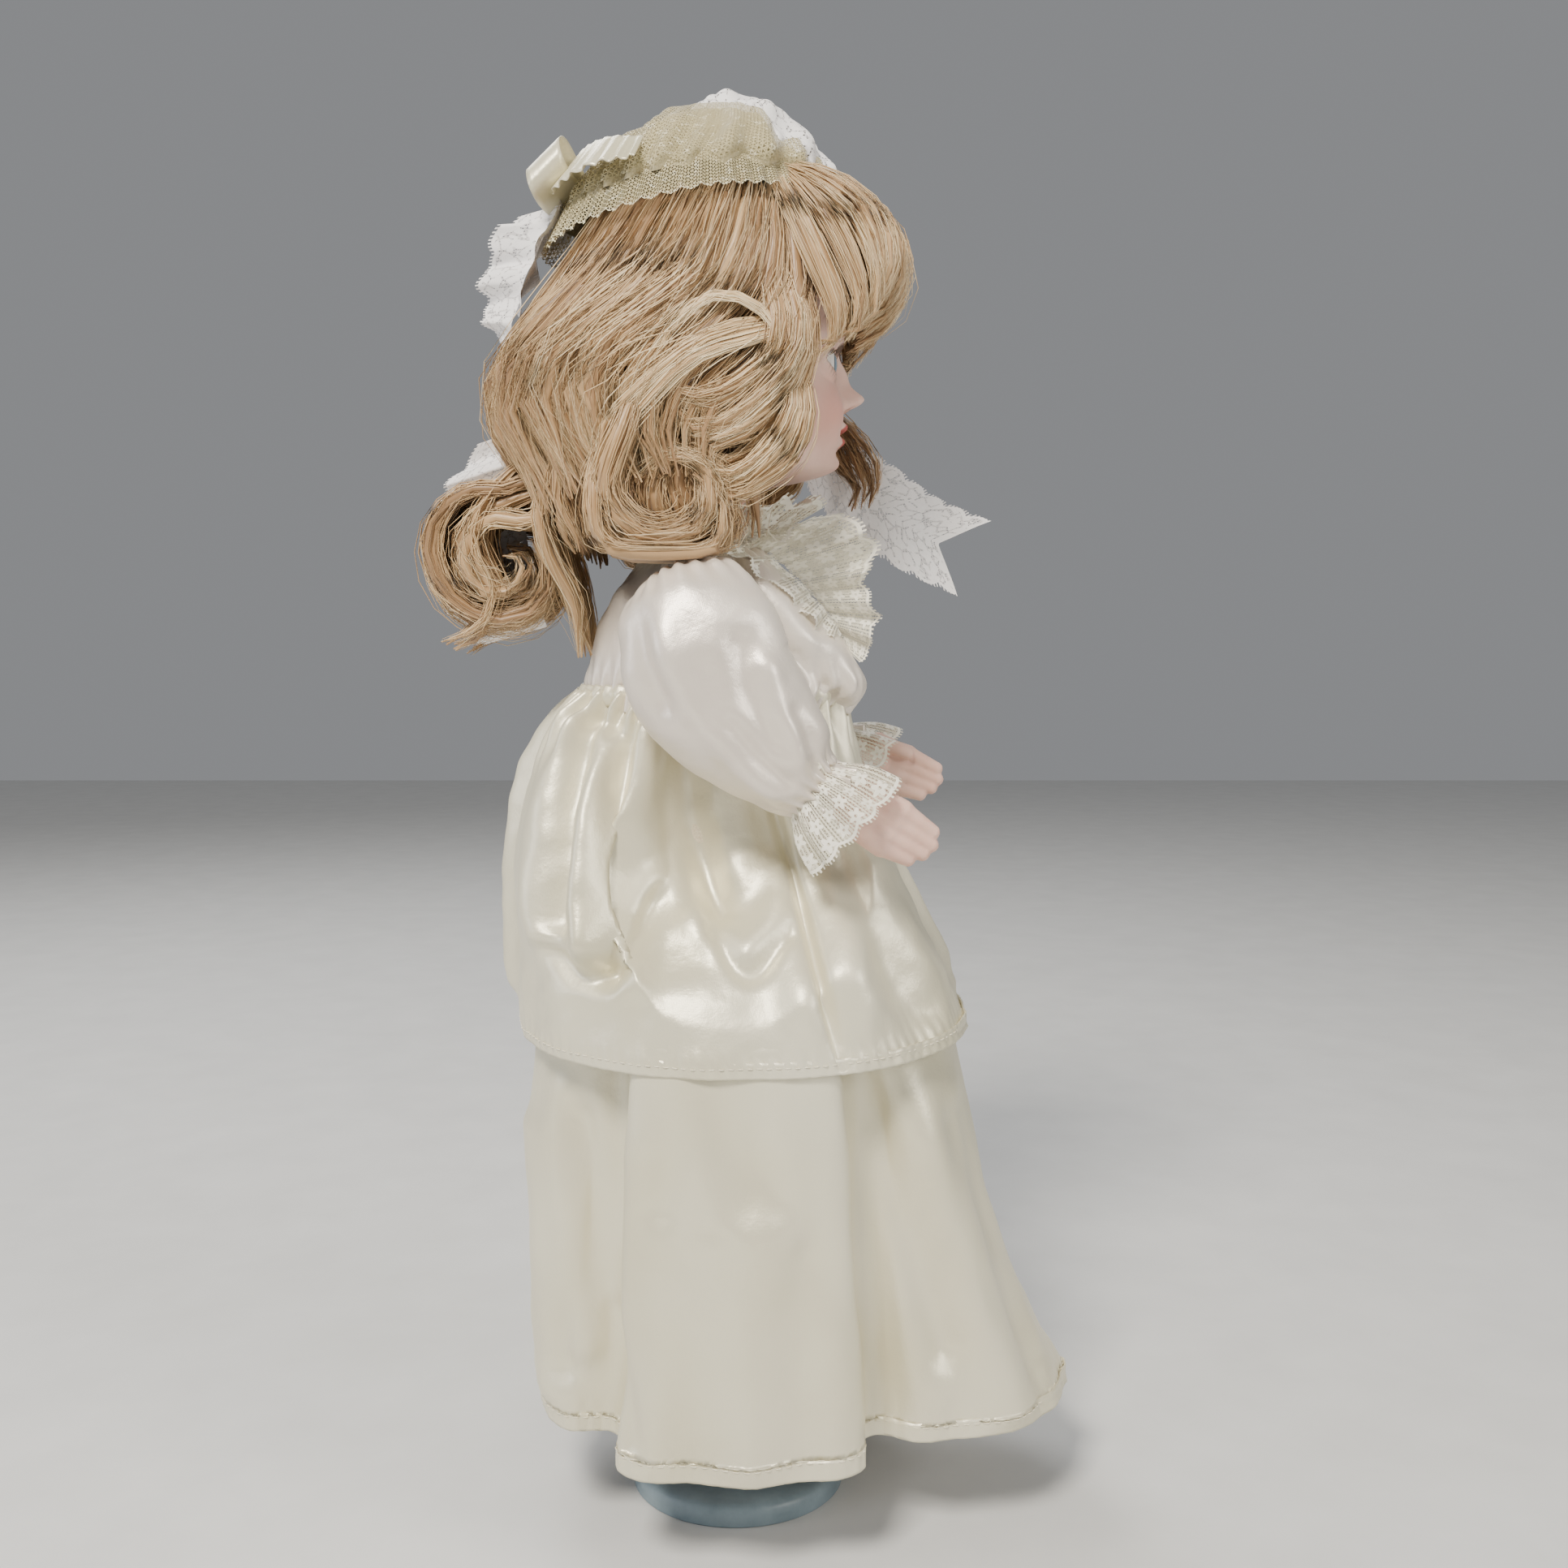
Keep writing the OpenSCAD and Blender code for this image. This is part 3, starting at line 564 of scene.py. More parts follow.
UPPER_FRONT = [(144, -70.5), (150, -68), (165, -62), (180, -55.5), (195, -49), (210, -43.5), (225, -38.5),
        (240, -34), (248, -32)]
UPPER_BACK = [(144, 66), (150, 66.5), (170, 67), (190, 67), (210, 65.5), (225, 61.5), (234, 57.5),
        (242, 52.5), (248, 47)]
UPPER_SIDE = [(144, 65.5), (150, 65), (170, 61.5), (190, 55.5), (210, 46.5), (225, 38), (234, 34),
        (242, 31.5), (248, 30)]
UPPER_TURNS = 420


def upper_tier_plan(z):
    turn = np.linspace(0, 2 * np.pi, UPPER_TURNS, endpoint=False)
    front, back, side = curve_at(UPPER_FRONT, z), curve_at(UPPER_BACK, z), curve_at(UPPER_SIDE, z)
    centre, depth = (front + back) / 2, (back - front) / 2
    cos, sin = np.cos(turn), np.sin(turn)
    power = 2 / 2.15
    return np.stack([-side * np.sign(sin) * np.abs(sin) ** power,
                centre - depth * np.sign(cos) * np.abs(cos) ** power, np.full_like(turn, z)], 1)


def press_in(grid, room):
    """Eases the sides of a skirt in to within room of the middle, without a hard edge."""
    over = np.clip(np.abs(grid[..., 0]) - room + 2, 0, None)
    grid[..., 0] -= np.sign(grid[..., 0]) * over * over / (over + 2)


def upper_tier_points():
    heights = np.concatenate([TIER_Z - 2 + np.linspace(0, 5, 8)[:-1], np.linspace(149, WAIST_Z, 66)])
    grid = np.array([upper_tier_plan(z) for z in heights])
    turn = np.degrees(np.linspace(0, 2 * np.pi, UPPER_TURNS, endpoint=False))
    x, y, z = grid[..., 0], grid[..., 1], grid[..., 2]
    # the skirt is pressed in where the forearms and lace cuffs hang beside it
    arm = smooth((y + 56) / 12) * smooth((52 - y) / 34)
    near_arm = arm * smooth((z - 170) / 30)
    room = 28.5 + 40 * smooth((206 - z) / 58) + 40 * (1 - arm)
    press_in(grid, room)
    right, left = smooth(-x / 14), smooth(x / 14)
    # folds on the doll's right, as (y, z) lines
    right_folds = strokes_at(y, z, [(5.0, 3.2, [(46, 238), (54, 214), (57, 192), (54, 180)]),
                (3.4, -3.6, [(39, 240), (46, 218), (48, 196), (50, 184)]),
                (4.6, 4.4, [(36, 234), (40, 213), (42, 191), (40, 178)]),
                (3.8, -4.6, [(31, 236), (33, 206), (31, 186), (36, 172)]),
                (5.5, 3.8, [(24, 236), (26, 213), (22, 196)]),
                (3.0, -2.6, [(52, 176), (40, 169), (27, 178), (22, 190)]),
                (5.0, -5.0, [(14, 232), (13, 213), (9, 201), (4, 188)]),
                (4.4, 2.8, [(10, 184), (-3, 176), (-12, 186), (-13, 196)]),
                (5.2, 4.2, [(0, 232), (0, 214), (-2, 198)]), (2.4, -2.8, [(6, 182), (-4, 172), (-16, 180)]),
                (1.7, -3.4, [(-9, 224), (-17, 196), (-25, 168), (-31, 146)]),
                (6.0, 3.0, [(-16, 222), (-26, 192), (-36, 164), (-40, 150)]),
                (5.0, 1.8, [(-10, 196), (-20, 164), (-26, 148)]),
                (5.0, -2.6, [(-30, 206), (-44, 176), (-54, 156)]),
                (6.0, 2.4, [(-40, 196), (-54, 168), (-62, 152)]),
                (8, -1.2, [(42, 160), (10, 157), (-10, 160)])])
    left_folds = strokes_at(y, z, [(5, 3.6, [(42, 236), (50, 206), (52, 176), (50, 150)]),
                (4, -4.4, [(34, 236), (40, 204), (40, 172), (37, 150)]),
                (5, 4.2, [(26, 234), (29, 206), (28, 176), (24, 156)]),
                (4.4, -4.6, [(18, 232), (18, 204), (13, 178), (12, 158)]),
                (5, 4.0, [(8, 232), (5, 206), (2, 178), (0, 152)]),
                (4, -4.4, [(-2, 230), (-8, 200), (-12, 170), (-14, 150)]),
                (5.5, 3.8, [(-12, 226), (-22, 194), (-30, 162)]),
                (4.6, -4.0, [(-22, 222), (-36, 186), (-46, 154)]),
                (5.5, 3.0, [(-34, 208), (-48, 178), (-58, 152)])])
    back, front = smooth((y - 30) / 25), smooth((-30 - y) / 25)
    back_folds = strokes_at(x, z, [(5, 3.6, [(-18, 238), (-24, 206), (-28, 170)]),
                (4, -4.6, [(-9, 238), (-12, 204), (-16, 160)]), (5, 4.0, [(0, 238), (-2, 206), (-4, 158)]),
                (4, -4.6, [(10, 238), (12, 204), (9, 160)]), (5, 3.6, [(19, 238), (25, 204), (26, 160)])])
    front_folds = strokes_at(x, z, [(5, 3.4, [(-16, 236), (-22, 196), (-26, 156)]),
                (4.5, -4.2, [(-7, 236), (-9, 200), (-12, 156)]), (5, 3.6, [(3, 236), (4, 200), (4, 156)]),
                (4.5, -4.2, [(12, 236), (16, 196), (20, 156)]),
                (5, 3.4, [(20, 234), (30, 196), (38, 158)])])
    middle = (1 - right) * (1 - left)
    folds = right * right_folds + left * left_folds + (back_folds * back + front_folds * front) * middle
    wander = np.sin(np.radians(turn) * 3 + 1) * 1.6 + np.sin(np.radians(turn) * 7) * 0.8
    gather = np.sin(np.radians(turn) * 34 + wander)[None] * 2.0 * smooth((z - 218) / 28)
    gather += np.sin(np.radians(turn) * 68 + 2 * wander)[None] * 0.6 * smooth((z - 234) / 13)
    crumple = noise_mm(grid * [1, 1, 0.6], 15, 5) * 1.6 + noise_mm(grid, 7, 6) * 0.55
    calm = smooth((z - TIER_Z) / 22) * 0.75 + 0.25
    length = reach_along(grid[0])
    stitch = np.sin(length * 2 * np.pi / 4.1 + 1.2 * np.sin(length / 23))
    pucker = 0.26 * stitch[None] * bell(z, TIER_Z + 1.5, 3.6)
    relief = folds * calm * (1.4 - 0.5 * near_arm) + gather + crumple + pucker
    grid = grid + outward(grid) * relief[..., None]
    press_in(grid, room + 2.3)
    # the hem rides up at the front and back and hangs lowest on the doll's right
    lift = 3.5 * (1 - np.abs(np.sin(np.radians(turn)))) + 0.6 + 0.12 * stitch
    grid[..., 2] += lift[None] * bell(z, TIER_Z - 2, 16)
    return turn_in_hem(grid, 4, 4.5, 0.9)


def hem_stitches(name, grid, row, gap, body):
    """One short thread of a running stitch, copied along a row of the cloth at the stitch's real pitch."""
    line = np.concatenate([grid[row], grid[row][:1]])
    normal = outward(grid)[row]
    reach = reach_along(line)
    places = np.arange(gap / 2, reach[-1] - gap, gap)
    verts, faces = [], []
    for place in places:
        a = np.array([np.interp(place, reach, line[:, k]) for k in range(3)])
        b = np.array([np.interp(place + gap * 0.62, reach, line[:, k]) for k in range(3)])
        out = normal[min(np.searchsorted(reach, place), len(normal) - 1)]
        across = np.cross(b - a, out)
        across /= np.linalg.norm(across) + 1e-9
        base = len(verts)
        for t, bulge in ((0, 0.0), (0.25, 0.26), (0.75, 0.26), (1, 0.0)):
            spot = a + (b - a) * t + out * bulge
            verts += [spot + out * 0.17, spot + across * 0.17, spot - out * 0.17, spot - across * 0.17]
        for i in range(3):
            for j in range(4):
                k = (j + 1) % 4
                faces.append((base + 4 * i + j, base + 4 * i + k, base + 4 * i + 4 + k,
                            base + 4 * i + 4 + j))
        faces += [(base + 3, base + 2, base + 1, base), (base + 12, base + 13, base + 14, base + 15)]
    return mesh_piece(name, np.array(verts), faces, THREAD, body)


BODICE_RINGS = [(243, -32, 44, 29.5), (246, -34, 44.5, 29.8), (250, -38, 45, 30.6),
        (255, -36.5, 44.5, 31.5), (265, -30.5, 42.5, 31), (275, -22, 38.5, 30), (283, -14, 32, 26),
        (289, -8, 26, 19), (293, -5, 21.5, 14.5)]


def bodice_points():
    table = np.array(BODICE_RINGS, float)
    rings = spline(table, 5)
    turn = np.linspace(0, 2 * np.pi, 240, endpoint=False)
    rows = []
    for z, front, back, side in rings:
        centre, depth = (front + back) / 2, (back - front) / 2
        rows.append(rounded_ring(turn, side, centre, depth, z, 0.9))
    grid = np.array(rows)
    y, z = grid[..., 1], grid[..., 2]
    wander = np.sin(turn * 3 + 2) * 1.4
    gather = np.sin(turn * 40 + wander)[None] * 1.2 * smooth((260 - z) / 14)
    gather += np.sin(turn * 36 + wander)[None] * 0.8 * smooth((z - 281) / 10)
    folds = strokes_at(y, z, [(3.5, 2.4, [(-6, 287), (-14, 274), (-22, 262)]),
                (3, -2.6, [(0, 286), (-9, 271), (-16, 259)]), (4, 2.2, [(6, 283), (-2, 268), (-8, 252)]),
                (3.5, 2.6, [(-28, 262), (-34, 252), (-32, 243)]),
                (3, -2.2, [(-20, 258), (-28, 248), (-27, 240)]),
                (4, 2.2, [(30, 274), (26, 256), (28, 242)]), (3, -2, [(22, 270), (18, 254), (20, 242)])])
    crumple = noise_mm(grid, 11, 8) * 1.0 + noise_mm(grid, 5, 9) * 0.3
    grid = grid + outward(grid) * (gather + folds + crumple)[..., None]
    grid[..., 0] = np.clip(grid[..., 0], -31.6, 31.6)
    return grid


SLEEVE_COLUMNS = 170
SLEEVE_PATH = [(-41.5, 14, 281), (-45, 12, 275.5), (-48, 9.5, 266), (-48.6, 4, 251), (-48, -7, 238),
        (-46.5, -17, 227.5), (-46, -22.5, 223), (-45.8, -24.6, 221.6), (-45.6, -27.4, 219)]
SLEEVE_WIDTH = [(7.2, 10.5), (11.6, 18), (14.4, 22.3), (14.8, 23.3), (14.2, 19.5), (12.5, 14.5), (9.0, 9.8),
        (7.8, 8.4), (10.6, 11.4)]


def mirror_side(points, side):
    """The doll's right is -X; the left arm is the same turned over."""
    points = np.asarray(points, float)
    return points if side < 0 else points * [-1, 1, 1]


def tip_arm(points, side):
    """The left arm is raised a little more than the right, about the shoulder."""
    if side < 0:
        return points
    angle, pivot = math.radians(-10), np.array([0, 8.0, 268.0])
    p = points - pivot
    y = p[..., 1] * math.cos(angle) - p[..., 2] * math.sin(angle)
    z = p[..., 1] * math.sin(angle) + p[..., 2] * math.cos(angle)
    return np.stack([p[..., 0], y, z], -1) + pivot


def sleeve_points(side):
    path, width = spline(SLEEVE_PATH, 10), spline(SLEEVE_WIDTH, 10)
    grid = tube_points(path, width, SLEEVE_COLUMNS)
    u = np.linspace(0, 1, len(path))[:, None]
    turn = np.linspace(0, 2 * np.pi, SLEEVE_COLUMNS, endpoint=False)[None]
    seed = 12 if side < 0 else 21
    wrist = smooth((u - 0.62) / 0.24)
    head = smooth((0.20 - u) / 0.18)
    push = np.sin(turn * 17 + 1.5 * np.sin(turn * 2 + seed)) * (1.3 * wrist + 0.6 * head)
    push += np.sin(turn * 31 + 2 * np.sin(turn * 3)) * 0.5 * wrist
    y, z = grid[..., 1], grid[..., 2]
    push += strokes_at(y, z, [(3.6, -2.2, [(26, 272), (23, 258), (18, 246)]),
                (4.4, 1.6, [(20, 274), (17, 258), (10, 244)]),
                (4.0, -1.9, [(-3, 262), (-6, 248), (-12, 236)]),
                (3.6, 1.7, [(-10, 256), (-14, 244), (-19, 232)]),
                (2.6, -1.6, [(-1, 240), (-8, 231), (-15, 225)]),
                (3.0, 1.5, [(5, 238), (-3, 228), (-11, 221)]),
                (2.6, -1.4, [(-18, 244), (-22, 236), (-24, 228)])]) * smooth((u - 0.1) / 0.2)
    push += (noise_mm(grid, 13, seed) * 1.1 + noise_mm(grid, 5.5, seed + 1) * 0.25) * smooth((1 - u) / 0.3)
    return tip_arm(mirror_side(grid + outward(grid) * push[..., None], side), side)


def ruffle_points(path_in, path_out, rows, cols, waves, depth, seed):
    """A gathered lace edging between two closed or open lines: the waves grow towards the free edge."""
    t = np.linspace(0, 1, cols)
    inner, outer = (np.stack([np.interp(t, np.linspace(0, 1, len(line)), line[:, k]) for k in range(3)], 1)
            for line in (spline(path_in, 12), spline(path_out, 12)))
    up = np.linspace(0, 1, rows)[:, None, None]
    grid = inner[None] + (outer - inner)[None] * up
    along = np.gradient(grid, axis=1)
    normal = np.cross(along, (outer - inner)[None])
    normal /= np.linalg.norm(normal, axis=2)[..., None] + 1e-9
    wander = np.sin(t * 9 + seed) * 0.9 + np.sin(t * 23 + 2 * seed) * 0.5
    wave = np.sin(t * 2 * np.pi * waves + wander)
    small = np.sin(t * 2 * np.pi * waves * 2.3 + wander * 2 + seed)
    size = depth * (0.25 + 0.75 * up[..., 0])
    push = wave[None] * size + small[None] * size * 0.22
    return grid + normal * push[..., None]


def lace_piece(name, grid, body, material, closed=False, cap=""):
    """Lace between its gathered row and its cut edge, whose distance the pattern reads in millimetres."""
    steps = np.linalg.norm(np.diff(grid, axis=0), axis=2).mean(1)
    up = np.concatenate([[0], np.cumsum(steps)])
    edge = np.repeat((up[-1] - up)[:, None], grid.shape[1], 1)
    return grid_piece(name, grid, body, material, closed=closed, cap=cap, edge=edge)


# ---------------------------------------------------------------- dress pieces

def cloth_sheet(piece, flat, held="gathered", **more):
    return piece


def build_skirts():
    low = lower_tier_points()
    low_piece = grid_piece("satin_lower_tier", low, "doll", SATIN, closed=True, thick=0.35)
    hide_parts("lower_skirt")
    stitches = hem_stitches("lower_hem_stitches", low, 11, 3.1, "doll")
    cloth_sheet(low_piece, (0.52, 0.18), with_pieces=[stitches.name])
    upper = upper_tier_points()
    upper_piece = grid_piece("satin_upper_tier", upper, "doll", SATIN, closed=True, thick=0.35)
    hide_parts("overskirt")
    stitches = hem_stitches("upper_hem_stitches", upper, 9, 2.7, "doll")
    cloth_sheet(upper_piece, (0.46, 0.115), with_pieces=[stitches.name])
    band = band_points(12)
    band_piece = grid_piece("satin_waistband", band, "doll", SATIN, closed=True, thick=0.4)
    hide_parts("waistband")
    cloth_sheet(band_piece, (0.21, 0.01))
    under = petticoat_points()
    under_piece = grid_piece("cotton_petticoat", under, "doll", COTTON, closed=True, thick=0.3)
    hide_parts("petticoat")
    cloth_sheet(under_piece, (0.48, 0.15))


def band_points(rows):
    """The seam where bodice and skirt meet, drawn in over a thread."""
    turn = np.linspace(0, 2 * np.pi, 220, endpoint=False)
    ring = []
    for t in np.linspace(0, 1, rows):
        z = 244.5 + 6 * t
        swell = 1.2 * math.sin(math.pi * t)
        ring.append(rounded_ring(turn, 30.6 + swell, 7, 39.5 + swell, z, 0.92))
    grid = np.array(ring)
    gather = np.sin(turn * 42 + np.sin(turn * 3))[None] * 0.5
    return grid + outward(grid) * gather[..., None]


def petticoat_points():
    """The plain cotton underskirt follows the lower tier, a few millimetres inside it."""
    outer = lower_tier_points()[5:]
    z = outer[..., 2]
    keep = z[:, 0] > 45.9
    outer, z = outer[keep], z[keep]
    centre = np.array([0, -14.0])
    inner = outer.copy()
    flat = outer[..., :2] - centre
    reach = np.linalg.norm(flat, axis=2)
    inner[..., :2] = centre + flat * ((reach - 4.2) / reach)[..., None]
    return inner[::2]


def build_bodice():
    piece = grid_piece("satin_bodice", bodice_points(), "doll", SLEEVE_SATIN, closed=True, thick=0.4)
    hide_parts("bodice")
    cloth_sheet(piece, (0.25, 0.065))


def build_sleeves():
    for name, side in SIDES.items():
        arm = name + "_arm"
        grid = sleeve_points(side)
        piece = grid_piece("satin_sleeve_" + name, grid, arm, SLEEVE_SATIN, closed=True, thick=0.35)
        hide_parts(name + "_sleeve")
        cloth_sheet(piece, (0.14, 0.08))
        cuff = cuff_points(side)
        lace = lace_piece("lace_cuff_" + name, cuff, arm, CREAM_LACE, closed=True)
        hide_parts(name + "_cuff")
        cloth_sheet(lace, (0.13, 0.024))


def cuff_points(side):
    """The lace edging flares from the elastic at the wrist out over the hand."""
    axis = (-0.73, -0.68)
    rings, count = [], 260
    turn = np.linspace(0, 2 * np.pi, count, endpoint=False)
    profile = [(-5.0, 9.6, 10.2), (-2.6, 8.8, 9.0), (-0.8, 8.2, 8.5), (1.0, 9.2, 9.9), (5, 11.2, 12.6),
            (9.5, 12.6, 14.8), (14, 13.6, 16.2), (17.5, 14.0, 17.2)]
    lines = spline(profile, 6)
    for reach, rx, rv in lines:
        centre = np.array([-45.9, -22.5 + axis[0] * reach, 222.5 + axis[1] * reach])
        flat = np.cross([0, axis[0], axis[1]], [1.0, 0, 0])
        rings.append(centre + np.cos(turn)[:, None] * [rx, 0, 0] + np.sin(turn)[:, None] * flat * rv)
    grid = np.array(rings)
    u = np.linspace(0, 1, len(grid))[:, None]
    seed = 3 if side < 0 else 7
    wave = np.sin(turn * 9 + 1.2 * np.sin(turn * 2 + seed))[None] * 1.7 * smooth((u - 0.25) / 0.6)
    fine = np.sin(turn * 24 + 1.5 * np.sin(turn * 3 + seed))[None] * 1.1 * bell(u, 0.16, 0.22)
    grid = grid + outward(grid) * (wave + fine)[..., None]
    return tip_arm(mirror_side(grid, side), side)


# ---------------------------------------------------------------- porcelain head, eyes and hands

HEAD_RINGS = [(289, -3.5, 19.5, 11.5), (303, -3.5, 19.5, 11.3), (307, -5.5, 20, 12), (310, -12, 21, 15.5),
        (312, -21, 22.5, 19.5), (314, -26.5, 24.5, 22), (317, -28.8, 26.5, 24.8), (321, -29.6, 29, 27.2),
        (326, -30.6, 31.5, 29.8), (332, -31.4, 34, 31.8), (339, -31.2, 36, 32.8), (347, -31.8, 38, 33),
        (356, -33, 39, 33), (366, -32.6, 39, 32.2), (376, -30, 37, 30), (385, -24, 32, 25),
        (391, -13, 22, 16), (394, -1, 10, 5)]
EYE = (12.8, -22.2, 343.6)
EYE_R = 7.6
# raised and sunken places on the face: height, across, up, half width, half height
FACE_SHAPE = [(5.9, 0, 335.4, 3.3, 3.1), (2.6, 0, 341, 2.7, 6.5), (-1.6, 0, 348.5, 6, 4),
        (-1.2, 0, 331.0, 4.5, 1.7), (1.9, 3.7, 333.6, 2.0, 1.9), (2.6, 15, 329.5, 8.5, 8),
        (1.2, 9, 321.5, 7, 6), (2.0, 0, 327.0, 5.4, 1.7), (0.8, 2.0, 327.6, 1.7, 1.2),
        (-0.7, 0, 329.6, 1.2, 1.9), (2.5, 0, 322.9, 4.6, 1.75), (-1.5, 0, 325.0, 5.6, 0.75),
        (-1.0, 7.2, 325.2, 1.7, 1.5), (-1.3, 0, 319.6, 5.5, 1.6), (2.5, 0, 315.8, 6.2, 3.4),
        (-2.6, 12.8, 345.0, 8, 6.2), (1.1, 12.5, 352.5, 8, 2.6), (-0.8, 20.5, 346.5, 3, 5)]
FACE_COLUMNS = 330


def face_turns():
    """Angles round the head, set closer together across the face."""
    t = np.linspace(0, 1, FACE_COLUMNS, endpoint=False) * 2 - 1
    return math.pi * (0.36 * t + 0.64 * np.sign(t) * np.abs(t) ** 2.6)


def head_points():
    heights = np.concatenate([np.linspace(289, 309.4, 22), np.linspace(309.8, 356, 122),
                np.linspace(357, 392, 34), [393.2, 393.8, 394]])
    table = np.array(HEAD_RINGS, float)
    turn = face_turns()
    rows = []
    for z in heights:
        front, back, side = (float(curve_at(table[:, [0, k]], z)) for k in (1, 2, 3))
        if z > 393.5:
            shrink = (394.05 - z) / 0.9
            mid = (front + back) / 2
            front, back, side = mid + (front - mid) * shrink, mid + (back - mid) * shrink, side * shrink
        centre, depth = (front + back) / 2, (back - front) / 2
        rows.append(rounded_ring(turn, side, centre, depth, z, 0.9))
    grid = np.array(rows)
    x, y, z = grid[..., 0], grid[..., 1], grid[..., 2]
    front = smooth((6 - y) / 18)
    push = np.zeros_like(x)
    for height, across, up, wide, tall in FACE_SHAPE:
        push += height * bell(np.abs(x), across, wide) * bell(z, up, tall)
    grid[..., 1] = y - push * front
    # lids lie just outside the glass eye and stop at an almond opening
    dx, dz = np.abs(grid[..., 0]) - EYE[0], z - EYE[2]
    slant = dz - 0.08 * dx
    top = 3.9 * np.sqrt(np.clip(1 - (dx / 6.6) ** 2, 0, 1)) ** 1.1
    low = -3.0 * np.sqrt(np.clip(1 - (dx / 6.6) ** 2, 0, 1)) ** 1.3
    inside = (slant < top) & (slant > low) & (front > 0.5)
    reach = dx ** 2 + dz ** 2
    ball = EYE[1] - np.sqrt(np.clip((EYE_R + 0.75) ** 2 - reach, 0, None))
    near = (reach < (EYE_R + 0.7) ** 2) & (front > 0.5)
    lid = np.where(near, np.minimum(grid[..., 1], ball), grid[..., 1])
    grid[..., 1] = np.where(inside, EYE[1] - 2.0, lid)
    return grid, inside


def face_paint(grid, inside):
    """China paint fired on the bisque: lips, blush, feathered brows, lash lines; the eye openings behind
    the glass eyes are painted dark as painted shade. Alpha is its cover.
    """
    x, y, z = np.abs(grid[..., 0]), grid[..., 1], grid[..., 2]
    front = smooth((4 - y) / 10)
    paint = np.zeros(grid.shape[:2] + (4,))

    def lay(colour, amount):
        amount = np.clip(amount * front, 0, 1)[..., None]
        old = paint[..., 3:]
        total = amount + old * (1 - amount)
        mixed = np.array(linear(colour)[:3]) * amount + paint[..., :3] * old * (1 - amount)
        paint[..., :3] = np.where(total > 0, mixed / np.maximum(total, 1e-6), paint[..., :3])
        paint[..., 3:] = total

    lay("D48F80", 0.55 * bell(x, 17, 8.5) * bell(z, 330, 8))
    lay("CF8C7E", 0.3 * bell(x, 0, 5) * bell(z, 315.5, 3))
    upper = 325.2 + 2.5 * np.clip(1 - (x / 7.0) ** 2, 0, 1) + 0.8 * bell(x, 2.2, 1.5) - 0.5 * bell(x, 0,
            0.9)
    lower = 324.9 - 3.5 * np.clip(1 - (x / 6.2) ** 2, 0, 1)
    lips = smooth((upper - z) / 0.7 + 0.5) * smooth((z - lower) / 0.7 + 0.5) * smooth((7.3 - x) / 0.8)
    lay("A8433C", 0.92 * lips)
    lay("6E2420", 0.7 * bell(z, 325.0, 0.5) * smooth((6.6 - x) / 1.2) * lips)
    lay("9C4A40", 0.7 * bell(x, 2.3, 0.8) * bell(z, 332.4, 0.7))
    arch = 354.2 + 3.0 * np.clip(1 - ((x - 14.5) / 9.5) ** 2, -1, 1)
    hairs = 0.55 + 0.45 * np.sin((x * 1.5 + z) * 3.1)
    lay("7A5436", 0.75 * bell(z, arch, 0.95) * smooth((x - 5.2) / 2) * smooth((23 - x) / 4) * hairs)
    dx, dz = x - EYE[0], z - EYE[2] - 0.08 * (x - EYE[0])
    top = 3.9 * np.sqrt(np.clip(1 - (dx / 6.6) ** 2, 0, 1)) ** 1.1
    low = -3.0 * np.sqrt(np.clip(1 - (dx / 6.6) ** 2, 0, 1)) ** 1.3
    lay("3B2A22", 0.85 * bell(dz, top + 0.25, 0.5) * (np.abs(dx) < 6.9))
    fringe = 0.5 + 0.5 * np.sin(dx * 5.2)
    lay("4A342A", 0.55 * bell(dz, low - 0.9, 0.9) * fringe * (np.abs(dx) < 6.4))
    lay("5A4438", 0.6 * bell(dz, low - 0.1, 0.3) * (np.abs(dx) < 6.6))
    lay("C79A8C", 0.45 * bell(dz, top + 2.4, 0.8) * (np.abs(dx) < 6.6))
    # painted shade: the head's surface inside each eye opening, behind the glass eye, is painted dark
    paint[inside] = linear("3A2A26")
    return paint


def build_head():
    grid, inside = head_points()
    paint = face_paint(grid, inside)
    piece = grid_piece("porcelain_head", grid, "head", BISQUE, closed=True, cap="both", paint=paint)
    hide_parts("head_shell")
    for name, side in SIDES.items():
        deselect()
        place = Vector((EYE[0] * side, EYE[1], EYE[2])) * MM
        bpy.ops.mesh.primitive_uv_sphere_add(segments=64, ring_count=40, radius=EYE_R * MM, location=place,
                rotation=(math.radians(90), 0, 0))
        eye = bpy.context.object
        eye.name = "glass_eye_" + name
        # the iris bulges a little under its clear dome
        bpy.ops.object.mode_set(mode="EDIT")
        bpy.ops.mesh.select_all(action="DESELECT")
        bpy.ops.object.mode_set(mode="OBJECT")
        for vertex in eye.data.vertices:
            vertex.select = vertex.co.z > EYE_R * MM * 0.9
        bpy.ops.object.mode_set(mode="EDIT")
        bpy.ops.transform.translate(value=(0, -0.25 * MM, 0), use_proportional_edit=True,
                proportional_size=2.5 * MM)
        bpy.ops.object.mode_set(mode="OBJECT")
        bpy.ops.object.shade_smooth()
        bake_place(eye)
        eye.data.materials.append(EYE_GLASS)
        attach(eye, "head")
        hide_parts(name + "_eye")


